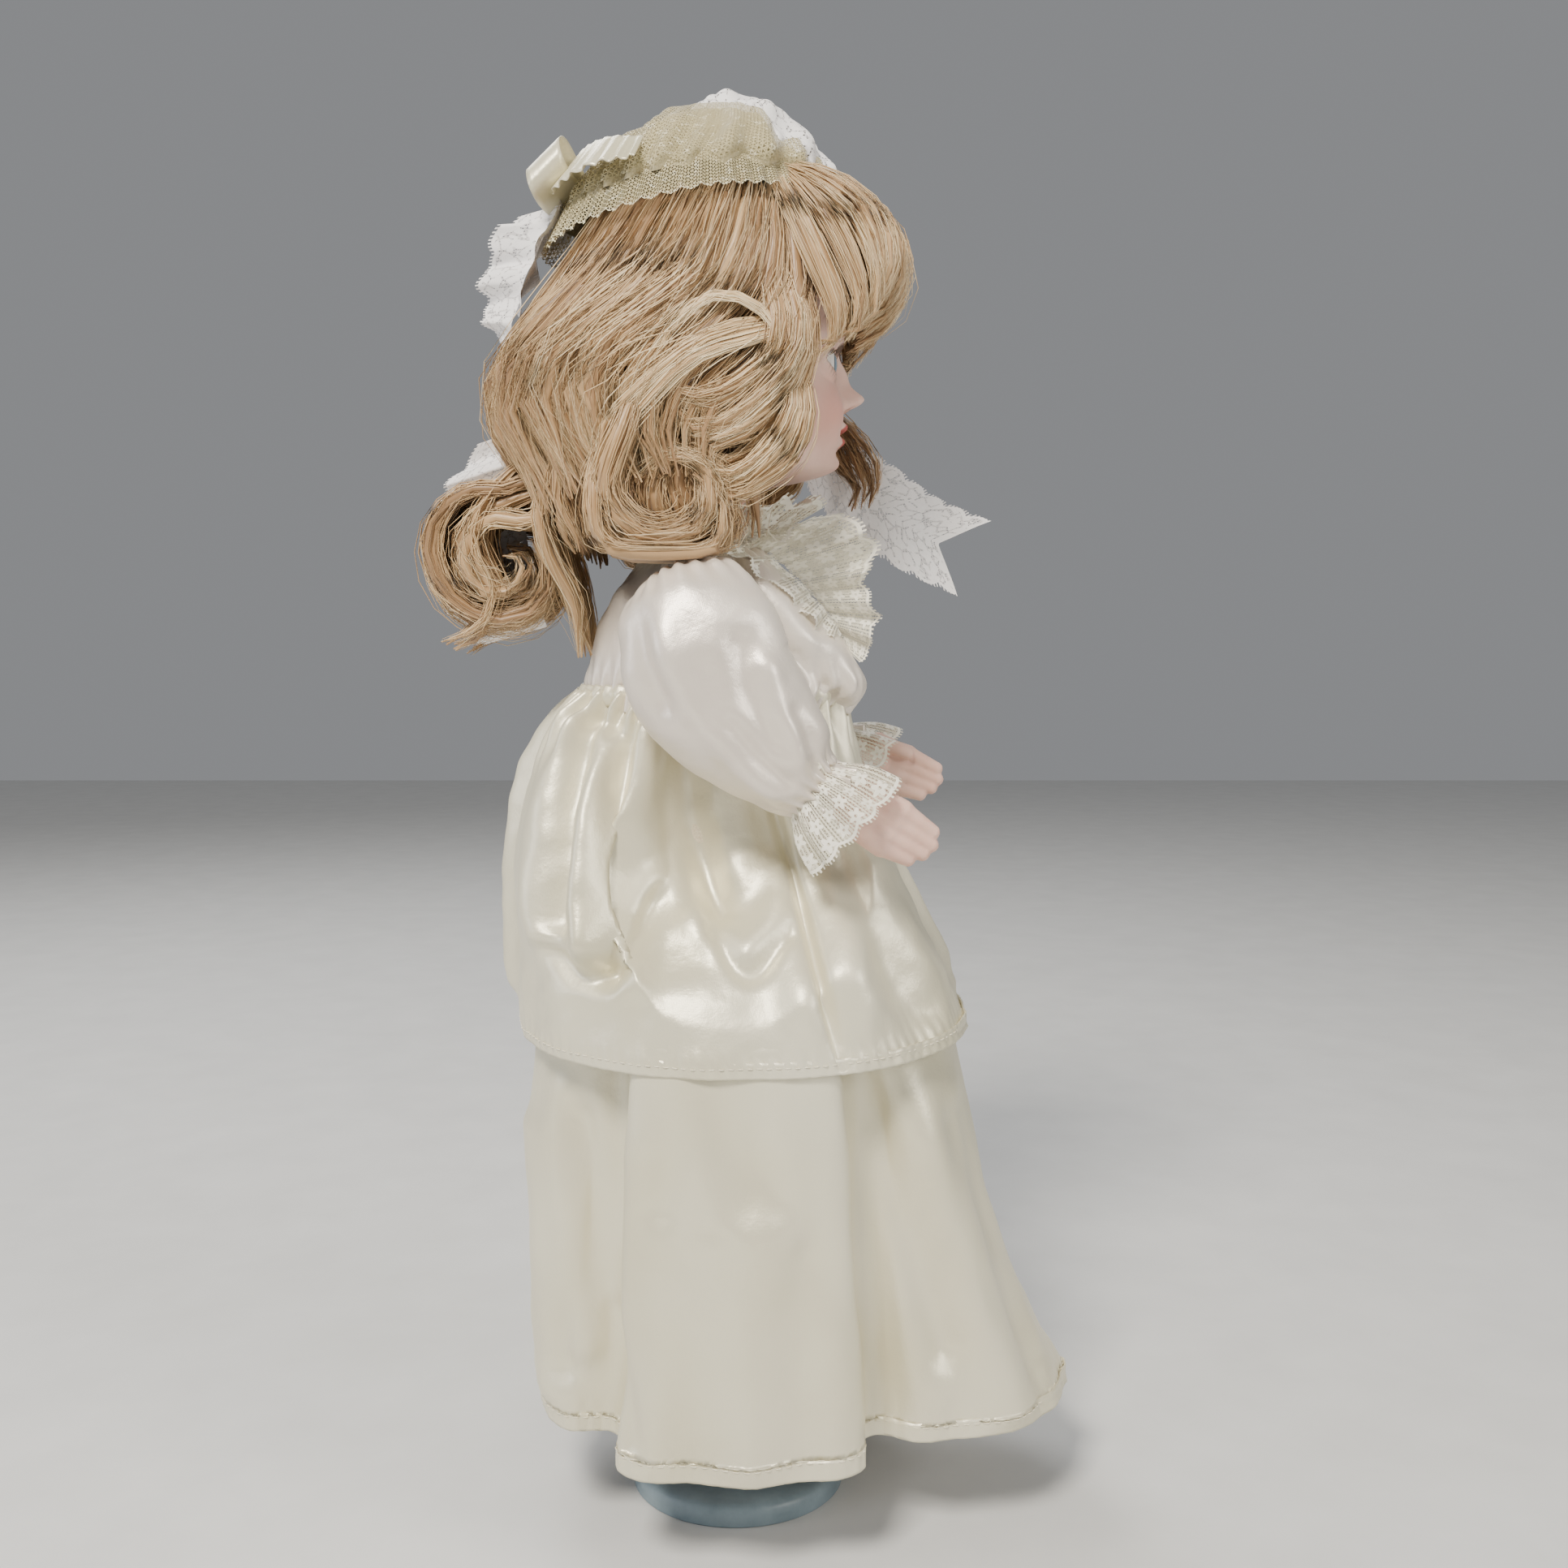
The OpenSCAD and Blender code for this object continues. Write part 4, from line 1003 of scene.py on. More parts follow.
def make_eye_glass(name):
    """Glass eye: a clear glossy dome over a grey-blue iris with fine spokes and a dark rim."""
    material, tree, shader = finish_named(name, Roughness=0.06, IOR=1.52, Coat_Weight=1.0)
    split = add(tree, "ShaderNodeSeparateXYZ", {0: object_mm(tree)})
    beside = add(tree, MATH, {0: split}, operation="ABSOLUTE")
    across = add(tree, MATH, {0: beside, 1: EYE[0]}, operation="SUBTRACT")
    up = add(tree, MATH, {0: split.outputs[2], 1: EYE[2]}, operation="SUBTRACT")
    square = add(tree, MATH, {0: across, 1: across}, operation="MULTIPLY")
    square = add(tree, MATH, {0: up, 1: up, 2: square}, operation="MULTIPLY_ADD")
    reach = add(tree, MATH, {0: square}, operation="SQRT")
    angle = add(tree, MATH, {0: up, 1: across}, operation="ARCTAN2")
    spin = add(tree, MATH, {0: angle, 1: 5.0}, operation="MULTIPLY")
    outwards = add(tree, MATH, {0: reach, 1: 0.3}, operation="MULTIPLY")
    around = add(tree, "ShaderNodeCombineXYZ", {0: spin, 1: outwards})
    spokes = add(tree, "ShaderNodeTexNoise", {"Vector": around, "Scale": 2.2, "Detail": 3})
    part_way = add(tree, MATH, {0: reach, 1: 0.2}, operation="MULTIPLY")
    ring = add(tree, "ShaderNodeValToRGB", {0: part_way},
            stops=[(0.0, "060606"), (0.30, "060606"), (0.33, "8FA3AE"), (0.58, "6F8796"), (0.70, "35434D"),
                (0.76, "E9E4DE"), (1.0, "DCD3CC")])
    shade = add(tree, "ShaderNodeMix", {"Factor": 0.45, 6: ring, 7: spokes}, data_type="RGBA",
            blend_type="SOFT_LIGHT")
    tree.links.new(shade.outputs[2], shader.inputs["Base Color"])
    return material


EYE_GLASS = make_eye_glass("blown_glass_doll_eye")


def joined_capsules(name, capsules, voxel, body, material, side, arm=None):
    """Soft-edged porcelain from overlapping tapered rods with round ends, fused and smoothed."""
    deselect()
    rods = []
    for a, b, radius_a, radius_b in capsules:
        a, b = (Vector(tip_arm(mirror_side(p, side), side) if arm else p) * MM for p in (a, b))
        for k in range(7):
            t = k / 6
            bpy.ops.mesh.primitive_uv_sphere_add(segments=20, ring_count=12,
                    radius=(radius_a + (radius_b - radius_a) * t) * MM, location=a.lerp(b, t))
            rods.append(bpy.context.object)
    for rod in rods:
        rod.select_set(True)
    bpy.context.view_layer.objects.active = rods[0]
    bpy.ops.object.join()
    piece = bpy.context.object
    piece.name = name
    bake_place(piece)
    remesh = piece.modifiers.new("cast", "REMESH")
    remesh.mode = "VOXEL"
    remesh.voxel_size = voxel * MM
    soft = piece.modifiers.new("fettled", "SMOOTH")
    soft.factor = 0.5
    soft.iterations = 5
    apply_modifiers(piece)
    select_only(piece)
    bpy.ops.object.shade_smooth()
    piece.data.materials.clear()
    piece.data.materials.append(material)
    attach(piece, body)
    return piece


def hand_rods():
    """Forearm, palm, four fingers lying together and a thumb, for the doll's right side."""
    ahead, above = np.array([0, -0.85, -0.53]), np.array([0, -0.53, 0.85])
    palm = np.array([-46.0, -37.0, 216.0])
    knuckle = palm + ahead * 9.0
    rods = [((-47.6, -3, 233), (-46.3, -27, 222), 7.6, 6.4), ((-46.3, -27, 222), palm, 6.4, 5.6)]
    for k in (-6.0, -2.0, 1.9, 5.7):
        rods.append((palm + above * k * 0.7 - ahead * 1.5, knuckle + above * k, 4.4, 3.2))
        long = {-6.0: 8.6, -2.0: 11.2, 1.9: 12.0, 5.7: 10.4}[k]
        tip = knuckle + above * k * 0.86 + ahead * long + np.array([2.0, 0, 0])
        rods.append((knuckle + above * k, tip, 2.9, 2.2))
    thumb = palm + above * 6.2 + np.array([3.6, 0, 0])
    rods.append((thumb - ahead * 2, thumb + ahead * 8.5 + np.array([1.2, 0, 0]), 3.0, 2.1))
    return [(np.asarray(a, float), np.asarray(b, float), ra, rb) for a, b, ra, rb in rods]


def build_hands():
    for name, side in SIDES.items():
        piece = joined_capsules("porcelain_forearm_" + name, hand_rods(), 0.55, name + "_arm", PLAIN_BISQUE,
                side, arm=True)
        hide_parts(name + "_forearm")


# ---------------------------------------------------------------- wig

STRAND_POINTS = 10
CURL_POINTS = 16
GUIDE_POINTS = 28
# radii in millimetres, a little over real fibre, so that each shows
STRAND_RADIUS = (0.09, 0.19)
# how softly hair lies down on the shoulder, in millimetres
SETTLE = 2.2


def flip(guides):
    return [[(-x, y, z) for x, y, z in guide] for guide in guides]


def guide_field(guides):
    """Guides drawn root to tip, all with the same number of evenly spaced points."""
    field = []
    for guide in guides:
        line = spline(guide, 10)
        reach = reach_along(line)
        even = np.linspace(0, reach[-1], GUIDE_POINTS)
        field.append(np.stack([np.interp(even, reach, line[:, k]) for k in range(3)], 1))
    return np.array(field)


def across_field(field, s):
    """The curve at s, from 0 at the first guide to 1 at the last."""
    place = s * (len(field) - 1)
    i = min(int(place), len(field) - 2)
    return field[i] + (field[i + 1] - field[i]) * smooth(place - i)


def strand_mesh(paths, radii, tones, sides):
    """Tapered rods round many paths at once. Returns points, faces and a tone for each point."""
    count, steps = paths.shape[:2]
    tangent = np.gradient(paths, axis=1)
    tangent /= np.linalg.norm(tangent, axis=2)[..., None] + 1e-9
    helper = np.where(np.abs(tangent[..., 2:]) > 0.8, [[[1.0, 0, 0]]], [[[0, 0, 1.0]]])
    a = np.cross(tangent, helper)
    a /= np.linalg.norm(a, axis=2)[..., None] + 1e-9
    b = np.cross(tangent, a)
    turn = np.arange(sides) * 2 * np.pi / sides
    ring = (paths[:, :, None] + np.cos(turn)[None, None, :, None] * (a * radii[..., :1])[:, :, None]
            + np.sin(turn)[None, None, :, None] * (b * radii[..., 1:])[:, :, None])
    verts = ring.reshape(-1, 3)
    s, i, j = np.meshgrid(np.arange(count), np.arange(steps - 1), np.arange(sides), indexing="ij")
    k = (j + 1) % sides
    base = (s * steps + i) * sides
    faces = np.stack([base + j, base + sides + j, base + sides + k, base + k], -1).reshape(-1, 4)
    return verts, faces, np.repeat(tones.reshape(-1), sides)


def settle(z, floor):
    """Heights eased up so that none falls below the floor."""
    return floor + SETTLE * np.log1p(np.exp((z - floor) / SETTLE))


def resample(line, where):
    """The points of a guide at places counted in guide points."""
    return np.stack([np.interp(where, np.arange(GUIDE_POINTS), line[:, k]) for k in range(3)], 1)


def grow_panel(guides, locks, strands, spread, depth, curl=0.6, frizz=0.35, tone=0.55, seed=1,
        centre=(0, 8, 342), floor=0, points=STRAND_POINTS):
    """Locks laid side by side across the guides, each a core with loose strands lying over it."""
    draw = np.random.default_rng(seed)
    field = guide_field(guides)
    t = np.linspace(0, 1, GUIDE_POINTS)
    pick = np.linspace(0, GUIDE_POINTS - 1, points)
    part = pick / (GUIDE_POINTS - 1)
    paths, radii, tones, cores, core_radii, core_tones = [], [], [], [], [], []
    for n in range(locks):
        s = (n + draw.uniform(0.1, 0.9)) / locks
        line = across_field(field, s)
        away = line - np.array(centre, float)
        tangent = directions_along(line)
        away -= tangent * (away * tangent).sum(1)[:, None]
        away /= np.linalg.norm(away, axis=1)[:, None] + 1e-9
        side = np.cross(tangent, away)
        lift = draw.uniform(-0.5, 1) * depth
        phase, waves = draw.uniform(0, 6.28), draw.uniform(1.2, 2.4)
        sway = np.sin(t * 6.28 * waves + phase) * curl * (0.15 + t)
        drift = draw.normal(0, 1) * 1.2 * t
        line = line + away * (lift * (0.35 + 0.65 * t) + 0.5 * sway)[:, None]
        line = line + side * (sway + drift)[:, None]
        lock_tone = tone + draw.normal(0, 0.09)
        wide = spread * draw.uniform(0.95, 1.65)
        fullness = 0.55 + 0.6 * np.sin(np.pi * np.clip(t * 1.05, 0, 1)) ** 0.8
        shape = fullness * (1 - 0.75 * smooth((t - 0.72) / 0.28))
        line[:, 2] = settle(line[:, 2], floor)
        cores.append(resample(line, pick))
        core = np.interp(pick, np.arange(GUIDE_POINTS), min(wide, 4) * 0.45 * shape + 0.02)
        core_radii.append(np.stack([core] * 2, 1))
        # each lock's core is toned darker than its strands: painted shade inside the lock
        core_tones.append(np.full(points, lock_tone - 0.2))
        for _ in range(strands):
            turn, far = draw.uniform(0, 6.28), math.sqrt(draw.uniform(0.15, 1)) * wide
            twist = turn + t * draw.normal(0, 1.1)
            fly = 1 + (draw.uniform(0, 1) < 0.22) * draw.uniform(0.6, 2.4) * t
            rough = (np.sin(t * draw.uniform(7, 17) + draw.uniform(0, 6.28)) * frizz
                    + np.sin(t * draw.uniform(20, 34) + draw.uniform(0, 6.28)) * frizz * 0.3) * (0.2 + t)
            shift = side * (np.cos(twist) * far * shape * fly + rough)[:, None]
            rise = away * (np.sin(twist) * far * 0.62 * shape * fly + rough * 0.6)[:, None]
            path = line + shift + rise
            path[:, 2] = settle(path[:, 2], floor)
            end = draw.uniform(0.86, 1.0)
            paths.append(resample(path, pick * end))
            thick = draw.uniform(*STRAND_RADIUS)
            radii.append(np.stack([thick * (1 - 0.65 * smooth((part - 0.6) / 0.4))] * 2, 1))
            # random tone for each strand, plus painted light: strands on the lock's outer side are lighter,
            # those beneath it darker
            strand_tone = lock_tone + draw.normal(0, 0.11) + 0.12 * np.sin(twist)[0]
            # painted shade and light along each strand: darker at the root, lighter at the tip
            tones.append(strand_tone + 0.16 * (part - 0.4))
    return [(np.array(paths), np.array(radii), np.array(tones), 3),
            (np.array(cores), np.array(core_radii), np.array(core_tones), 7)]


def hair_piece(name, panels, body="head"):
    verts, faces, tones, base = [], [], [], 0
    for panel in panels:
        for paths, radii, tone, sides in panel:
            v, f, c = strand_mesh(paths, radii, tone, sides)
            verts.append(v)
            faces.append(f + base)
            tones.append(c)
            base += len(v)
    verts, faces = np.concatenate(verts) * MM, np.concatenate(faces)
    mesh = bpy.data.meshes.new(name)
    mesh.vertices.add(len(verts))
    mesh.vertices.foreach_set("co", verts.astype(np.float32).ravel())
    mesh.loops.add(faces.size)
    mesh.loops.foreach_set("vertex_index", faces.astype(np.int32).ravel())
    mesh.polygons.add(len(faces))
    mesh.polygons.foreach_set("loop_start", np.arange(0, faces.size, 4, dtype=np.int32))
    mesh.update(calc_edges=True)
    mesh.attributes.new("tone", "FLOAT", "POINT").data.foreach_set("value",
            np.concatenate(tones).astype(np.float32))
    mesh.polygons.foreach_set("use_smooth", [True] * len(mesh.polygons))
    mesh.materials.append(HAIR)
    piece = bpy.data.objects.new(name, mesh)
    bpy.context.collection.objects.link(piece)
    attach(piece, body)
    return piece


def loop_guide(lead, centre, radii, x_from, x_to, start, stop):
    """A lock that winds round a centre in the YZ plane after its lead. 0 degrees is up, 90 the back."""
    points = list(lead)
    for k, angle in enumerate(np.linspace(start, stop, 8)):
        t = k / 7
        r = radii[0] + (radii[1] - radii[0]) * t
        b = math.radians(angle)
        points.append((x_from + (x_to - x_from) * t, centre[0] + r * math.sin(b),
                    centre[1] + r * math.cos(b)))
    return points


BACK = [(-10, 20, 404), (-18, 34, 388), (-22, 46, 368), (-22, 60, 350), (-18, 69, 337), (-17, 67, 323),
        (-20, 59, 310), (-22, 55, 297)]
BACK_MID = [(0, 22, 404), (0, 36, 388), (0, 48, 368), (0, 62, 350), (0, 70, 336), (0, 68, 322),
        (0, 61, 310), (0, 58, 297)]
BACK_SIDE = [(-16, 14, 404), (-30, 24, 386), (-37, 35, 366), (-37, 49, 351), (-33, 61, 339), (-31, 63, 326),
        (-33, 55, 312), (-36, 49, 300)]
SIDE_BACK = [(-18, 6, 402), (-36, 12, 384), (-42, 21, 364), (-44, 35, 351), (-43, 48, 341), (-41, 54, 329),
        (-42, 48, 315), (-44, 42, 303)]
SIDE_MID = [(-18, -2, 402), (-37, 2, 384), (-43, 8, 364), (-46, 20, 353), (-47, 32, 344), (-47, 38, 332),
        (-47, 34, 318), (-47, 28, 306)]
SIDE_FRONT = [(-18, -8, 400), (-36, -8, 382), (-41, -6, 364), (-44, 2, 352), (-46, 12, 343), (-48, 20, 333),
        (-48, 22, 320), (-47, 18, 308)]
SIDE_FACE = [(-18, -13, 398), (-34, -15, 380), (-38, -18, 362), (-41, -15, 350), (-43, -7, 341),
        (-46, 2, 331), (-47, 6, 319), (-46, 6, 308)]


def side_panels(side, seed):
    curl = [loop_guide([(-42, 16, 346), (-46, 24, 334)], (17, 305), (20, 6), x, x + 5, 35, 450)
            for x in (-53, -49, -44, -38)]
    lower = [loop_guide([(-44, 34, 322)], (16, 298), (22, 12), x, x + 2, 70, 330) for x in (-51, -44, -36)]
    under = [[(-34, y * 0.8, 345), (-38, y, 330), (-38, y + 1, 315), (-37, y + 2, 303), (-34, y + 1, 292)]
            for y in (-8, 6, 22, 40)]
    frame_locks = [[(-33, -13, 374), (-37, -21, 358), (-38, -22, 342), (-39, -17, 328), (-41, -8, 316),
                (-44, 2, 310), (-45, 8, 314)], [(-35, -10, 374), (-41, -17, 357), (-44, -18, 343),
                (-46, -10, 331), (-48, 0, 323), (-49, 10, 321), (-48, 15, 327)],
            [(-36, -6, 370), (-44, -10, 356), (-47, -10, 344), (-49, -2, 334), (-50, 8, 330),
                (-50, 16, 333), (-48, 18, 341)]]
    curls_front = [[(-38, -20, 338), (-41, -22, 326), (-42, -18, 315), (-43, -8, 306), (-44, 0, 302),
                (-45, 5, 307), (-45, 2, 313)], [(-40, -16, 338), (-44, -16, 326), (-46, -10, 316),
                (-47, -2, 309), (-47, 5, 309), (-47, 6, 316), (-46, 1, 320)]]
    arc = [[(-43, -15, 344), (-47, -9, 354), (-50, 2, 358), (-50, 12, 353), (-49, 18, 344), (-48, 20, 334),
                (-47, 16, 326)], [(-44, -16, 340), (-48, -9, 349), (-51, 2, 353), (-51, 11, 348),
                (-50, 17, 340), (-49, 18, 330), (-48, 14, 322)]]
    sweep = [[(-46, -12, 346), (-50, -2, 342), (-52, 8, 338), (-51, 20, 329), (-50, 29, 319),
                (-49, 31, 308), (-49, 27, 298)], [(-46, -8, 350), (-50, 2, 347), (-52, 13, 341),
                (-51, 25, 331), (-50, 34, 320), (-48, 36, 308), (-48, 31, 296)]]
    haze = [SIDE_BACK, SIDE_MID, SIDE_FRONT]
    fluff = [[(-38, y, 326), (-42, y + 4, 317), (-44, y + 9, 308), (-43, y + 6, 299), (-40, y - 2, 294),
                (-39, y - 6, 300)] for y in (0, 9, 18, 27)]
    # last column is tone: the under locks are darker, painted shade beneath the outer hair; the arc and
    # sweep locks are lighter, painted highlight
    guides = [([SIDE_BACK, SIDE_MID, SIDE_FRONT, SIDE_FACE], 36, 30, 2.5, 3.0, 1.0, 0.3, 0.56),
            (curl, 22, 30, 2.5, 1.2, 1.0, 0.5, 0.62), (lower, 14, 24, 2.4, 1.2, 1.0, 0.5, 0.58),
            (frame_locks, 14, 26, 2.0, 1.2, 1.0, 0.55, 0.66),
            (curls_front, 8, 22, 1.8, 1.0, 1.0, 0.6, 0.66), (under, 16, 18, 2.6, 1.0, 1.0, 0.4, 0.4),
            (fluff, 14, 20, 2.6, 1.6, 1.6, 0.8, 0.5), (haze, 12, 16, 5.5, 2.2, 2.4, 1.5, 0.62),
            (arc, 2, 16, 0.9, 0.4, 0.4, 0.25, 0.85), (sweep, 5, 22, 1.4, 1.0, 0.8, 0.3, 0.78)]
    panels = []
    for k, (lines, locks, strands, spread, depth, wave, frizz, tone) in enumerate(guides):
        lines = lines if side < 0 else flip(lines)
        panels.append(grow_panel(lines, locks, strands, spread, depth, wave, frizz, tone, seed + k,
                    floor=286.5, points=CURL_POINTS if k in (1, 2, 6) else STRAND_POINTS))
    return panels


def bang_guides():
    """The fringe rolls forward and turns in above the brow; its sides lie close to the temples."""
    side = [[(-18, -10, 400), (-35, -14, 386), (-40, -20, 371), (-41, -25, 359), (-40, -28, 350),
                (-38, -27, 344), (-36, -24, 341), (-36, -21, 342)],
            [(-17, -11, 399), (-33, -18, 390), (-39, -27, 377), (-41, -33, 364), (-40, -36, 355),
                (-39, -34, 349), (-37, -31, 347), (-36, -29, 348)]]
    middle = []
    for x in (-36, -27, -14, 0, 14, 27, 36):
        f = 1 - (abs(x) / 44) ** 3
        middle.append([(x * 0.45, -8, 397), (x * 0.75, -12 - 8 * f, 395), (x * 0.93, -20 - 12 * f, 391),
                    (x, -28 - 15 * f, 384), (x, -33 - 15.5 * f, 375), (x, -36 - 12 * f, 365),
                    (x * 0.98, -36 - 6 * f, 357), (x * 0.95, -33 - 3 * f, 353.5)])
    return side + middle + flip(side)[::-1]


def cap_points():
    """The wig's own sewn base: it hugs the skull and stops at the hairline."""
    table = np.array(HEAD_RINGS, float)
    rows = []
    for z in np.concatenate([np.linspace(304, 392, 50), [395, 397, 398]]):
        low = min(z, 390.5)
        front, back, side = (float(curve_at(table[:, [0, k]], max(low, 318))) for k in (1, 2, 3))
        grow = 2.2 - 1.6 * smooth((z - 392) / 6)
        shrink = 1 - 0.96 * smooth((z - 391.5) / 6.6)
        start = math.radians(78 - 78 * smooth((z - 352) / 20))
        turn = np.linspace(start, 2 * np.pi - start, 140)
        centre, deep, wide = (front + back) / 2, (back - front) / 2 + grow, side + grow
        cos, sin = np.cos(turn), np.sin(turn)
        rows.append(np.stack([-wide * shrink * np.sign(sin) * np.abs(sin) ** 0.92,
                        centre - deep * shrink * np.sign(cos) * np.abs(cos) ** 0.92, np.full_like(turn, z)],
                    1))
    return np.array(rows)


def build_hair():
    cap = grid_piece("wig_base", cap_points(), "head", HAIR, thick=0.5)
    # the wig's base gets the darkest tone: painted shade under the hair
    tone = cap.data.attributes.new("tone", "FLOAT", "POINT")
    tone.data.foreach_set("value", [0.12] * len(cap.data.vertices))
    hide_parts("wig_cap")
    back = hair_piece("wig_back_waves", [grow_panel([flip([SIDE_BACK])[0], flip([BACK_SIDE])[0],
                    flip([BACK])[0], BACK_MID, BACK, BACK_SIDE, SIDE_BACK], 64, 30, 2.6, 3.2, 1.2, 0.3,
                    0.55, 40)])
    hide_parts("hair_back", "hair_crown")
    for name, side, seed in (("right", -1, 100), ("left", 1, 200)):
        panels = side_panels(side, seed)
        if side > 0:
            front_lock = [[(35, -16, 352), (32, -28, 338), (27, -37, 327), (24, -43, 318), (23, -44, 311),
                        (23, -42, 306)], [(36, -10, 350), (34, -22, 334), (29, -30, 322), (26, -35, 314),
                        (25, -36, 309), (25, -34, 306)]]
            panels.append(grow_panel(front_lock, 7, 26, 2.2, 1.0, 1.0, 0.4, 0.45, 290))
        waves = hair_piece("wig_" + name + "_waves", panels[:1] + panels[3:4])
        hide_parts("hair_" + name + "_side")
        hair_piece("wig_" + name + "_curls", panels[1:3] + panels[4:])
    bangs = hair_piece("wig_fringe", [grow_panel(bang_guides(), 52, 28, 2.3, 2.0, 0.8, 0.28, 0.64, 60)])
    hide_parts("hair_bangs")
    lobe = [loop_guide([(x * 0.8, 56, 322)], (68, 287), (25 - abs(x) * 0.12, 13), x, x * 0.9, -20, 300)
            for x in (-25, -13, 0, 13, 25)]
    inner = [loop_guide([(x * 0.9, 54, 316)], (66, 286), (16, 4), x, x * 0.8, -40, 380)
            for x in (-28, -10, 10, 28)]
    fluff = [[(x, 58, 306), (x, 70, 302), (x, 78, 292), (x, 74, 280), (x, 64, 276), (x, 60, 284)]
            for x in (-24, -8, 8, 24)]
    low_wave = [[(x * 0.8, 60, 316), (x, 70, 306), (x * 1.1, 74, 292), (x, 70, 277), (x, 76, 266),
                (x * 0.9, 84, 262)] for x in (-24, -8, 8, 24)]
    tips = [[(x * 1.2, 50, 318), (x * 1.3, 55, 303), (x * 1.2, 52, 288), (x, 47, 273), (x * 0.8, 44, 259)]
            for x in (-24, -8, 8, 24)]
    nape = [[(x * 0.9, 42, 325), (x, 48, 312), (x, 46, 300), (x * 0.95, 43, 288)]
            for x in (-40, -20, 0, 20, 40)]
    curl = hair_piece("wig_back_curl", [grow_panel(lobe, 26, 25, 2.7, 1.6, 1.2, 0.5, 0.6, 70, (0, 66, 281),
                    points=CURL_POINTS), grow_panel(inner, 12, 20, 2.6, 1.0, 1.0, 0.5, 0.5, 80,
                    (0, 66, 281), points=CURL_POINTS), grow_panel(fluff, 14, 20, 3.0, 2.4, 1.6, 0.8, 0.5,
                    83, (0, 66, 281)), grow_panel(low_wave, 12, 24, 2.4, 1.4, 1.4, 0.5, 0.62, 85,
                    (0, 50, 281)), grow_panel(tips, 14, 24, 2.2, 1.4, 1.2, 0.4, 0.66, 90, (0, 30, 281)),
                grow_panel(nape, 22, 22, 2.6, 2.0, 1.2, 0.4, 0.45, 95, (0, 20, 300))])
    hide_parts("hair_back_curl")


# ---------------------------------------------------------------- lace at the neck and the headpiece

def neck_ring(front, back, side, heights, n=240, centre_y=8):
    """A closed line round the neck; heights gives its level at the front, sides and back."""
    turn = np.linspace(0, 2 * np.pi, n, endpoint=False)
    reach = np.where(np.cos(turn) > 0, centre_y - front, back - centre_y)
    x, y = -side * np.sin(turn), centre_y - reach * np.cos(turn)
    level = np.interp(np.cos(turn), [-1, 0, 1], [heights[2], heights[1], heights[0]])
    return np.stack([x, y, level], 1)


def ring_ruffle(inner, outer, rows, waves, depth, seed, curl=0.0):
    """A gathered frill between two closed lines."""
    up = np.linspace(0, 1, rows)[:, None, None]
    grid = inner[None] * (1 - up) + outer[None] * up
    turn = np.linspace(0, 2 * np.pi, inner.shape[0], endpoint=False)
    grid[..., 2] += curl * np.sin(np.pi * up[..., 0])
    wander = np.sin(turn * 2 + seed) * 1.3 + np.sin(turn * 5 + 2 * seed) * 0.5
    wave = np.sin(turn * waves + wander)[None] + 0.25 * np.sin(turn * (2 * waves + 3) + 2 * wander)[None]
    push = wave * depth * (0.2 + 0.8 * up[..., 0] ** 0.8)
    return grid + outward(grid) * push[..., None]


def build_neck_lace():
    stand = ring_ruffle(neck_ring(-7, 24, 14.5, (291, 292, 293)), neck_ring(-27, 31, 20, (306.5, 302, 303)),
            22, 13, 2.0, 1, 1.0)
    piece = lace_piece("lace_collar_frill", stand, "doll", CREAM_LACE, closed=True)
    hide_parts("collar_frill")
    cloth_sheet(piece, (0.14, 0.018))
    bertha = ring_ruffle(neck_ring(-8, 24, 15, (290, 290.5, 292)), neck_ring(-26, 36, 25, (296, 290, 289)),
            26, 11, 2.4, 4, 2.0)
    cloth_sheet(lace_piece("lace_collar_lower_frill", bertha, "doll", CREAM_LACE, closed=True),
            (0.125, 0.02))
    for name, side in SIDES.items():
        flap = ruffle_points(mirror_side([(-9, -6, 292), (-8, -14, 287), (-6.5, -22, 279), (-5, -29, 270),
                        (-3.5, -34, 261)], side), mirror_side([(-15, -25, 301), (-16, -36, 299.5),
                        (-13.5, -43, 291), (-12, -39, 281), (-12, -43, 272), (-8, -41, 263),
                        (-6, -38, 257)], side), 34, 220, 5.2, 2.3, 2 + side)
        piece = lace_piece("lace_jabot_" + name, flap, "doll", CREAM_LACE)
        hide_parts("jabot_upper" if side < 0 else "jabot_lower")
        cloth_sheet(piece, (0.062, 0.022))
        lapel = ruffle_points(mirror_side([(-12, 2, 293), (-9, -11, 288), (-7.5, -23, 277),
                        (-5.5, -32, 266)], side), mirror_side([(-20, 8, 293), (-25.5, -3, 286),
                        (-24, -18, 273), (-18.5, -30, 261)], side), 26, 200, 5, 1.3, 6 + side)
        cloth_sheet(lace_piece("lace_lapel_" + name, lapel, "doll", CREAM_LACE), (0.055, 0.016))


CROWN_RINGS = [(0.0, -27, 50, 40), (0.12, -28, 49, 41), (0.3, -27, 45, 39.5), (0.5, -24, 38, 35),
        (0.7, -18, 29, 27), (0.86, -9, 19, 16), (0.96, 1, 10, 7), (1.0, 4.5, 6.5, 1.0)]


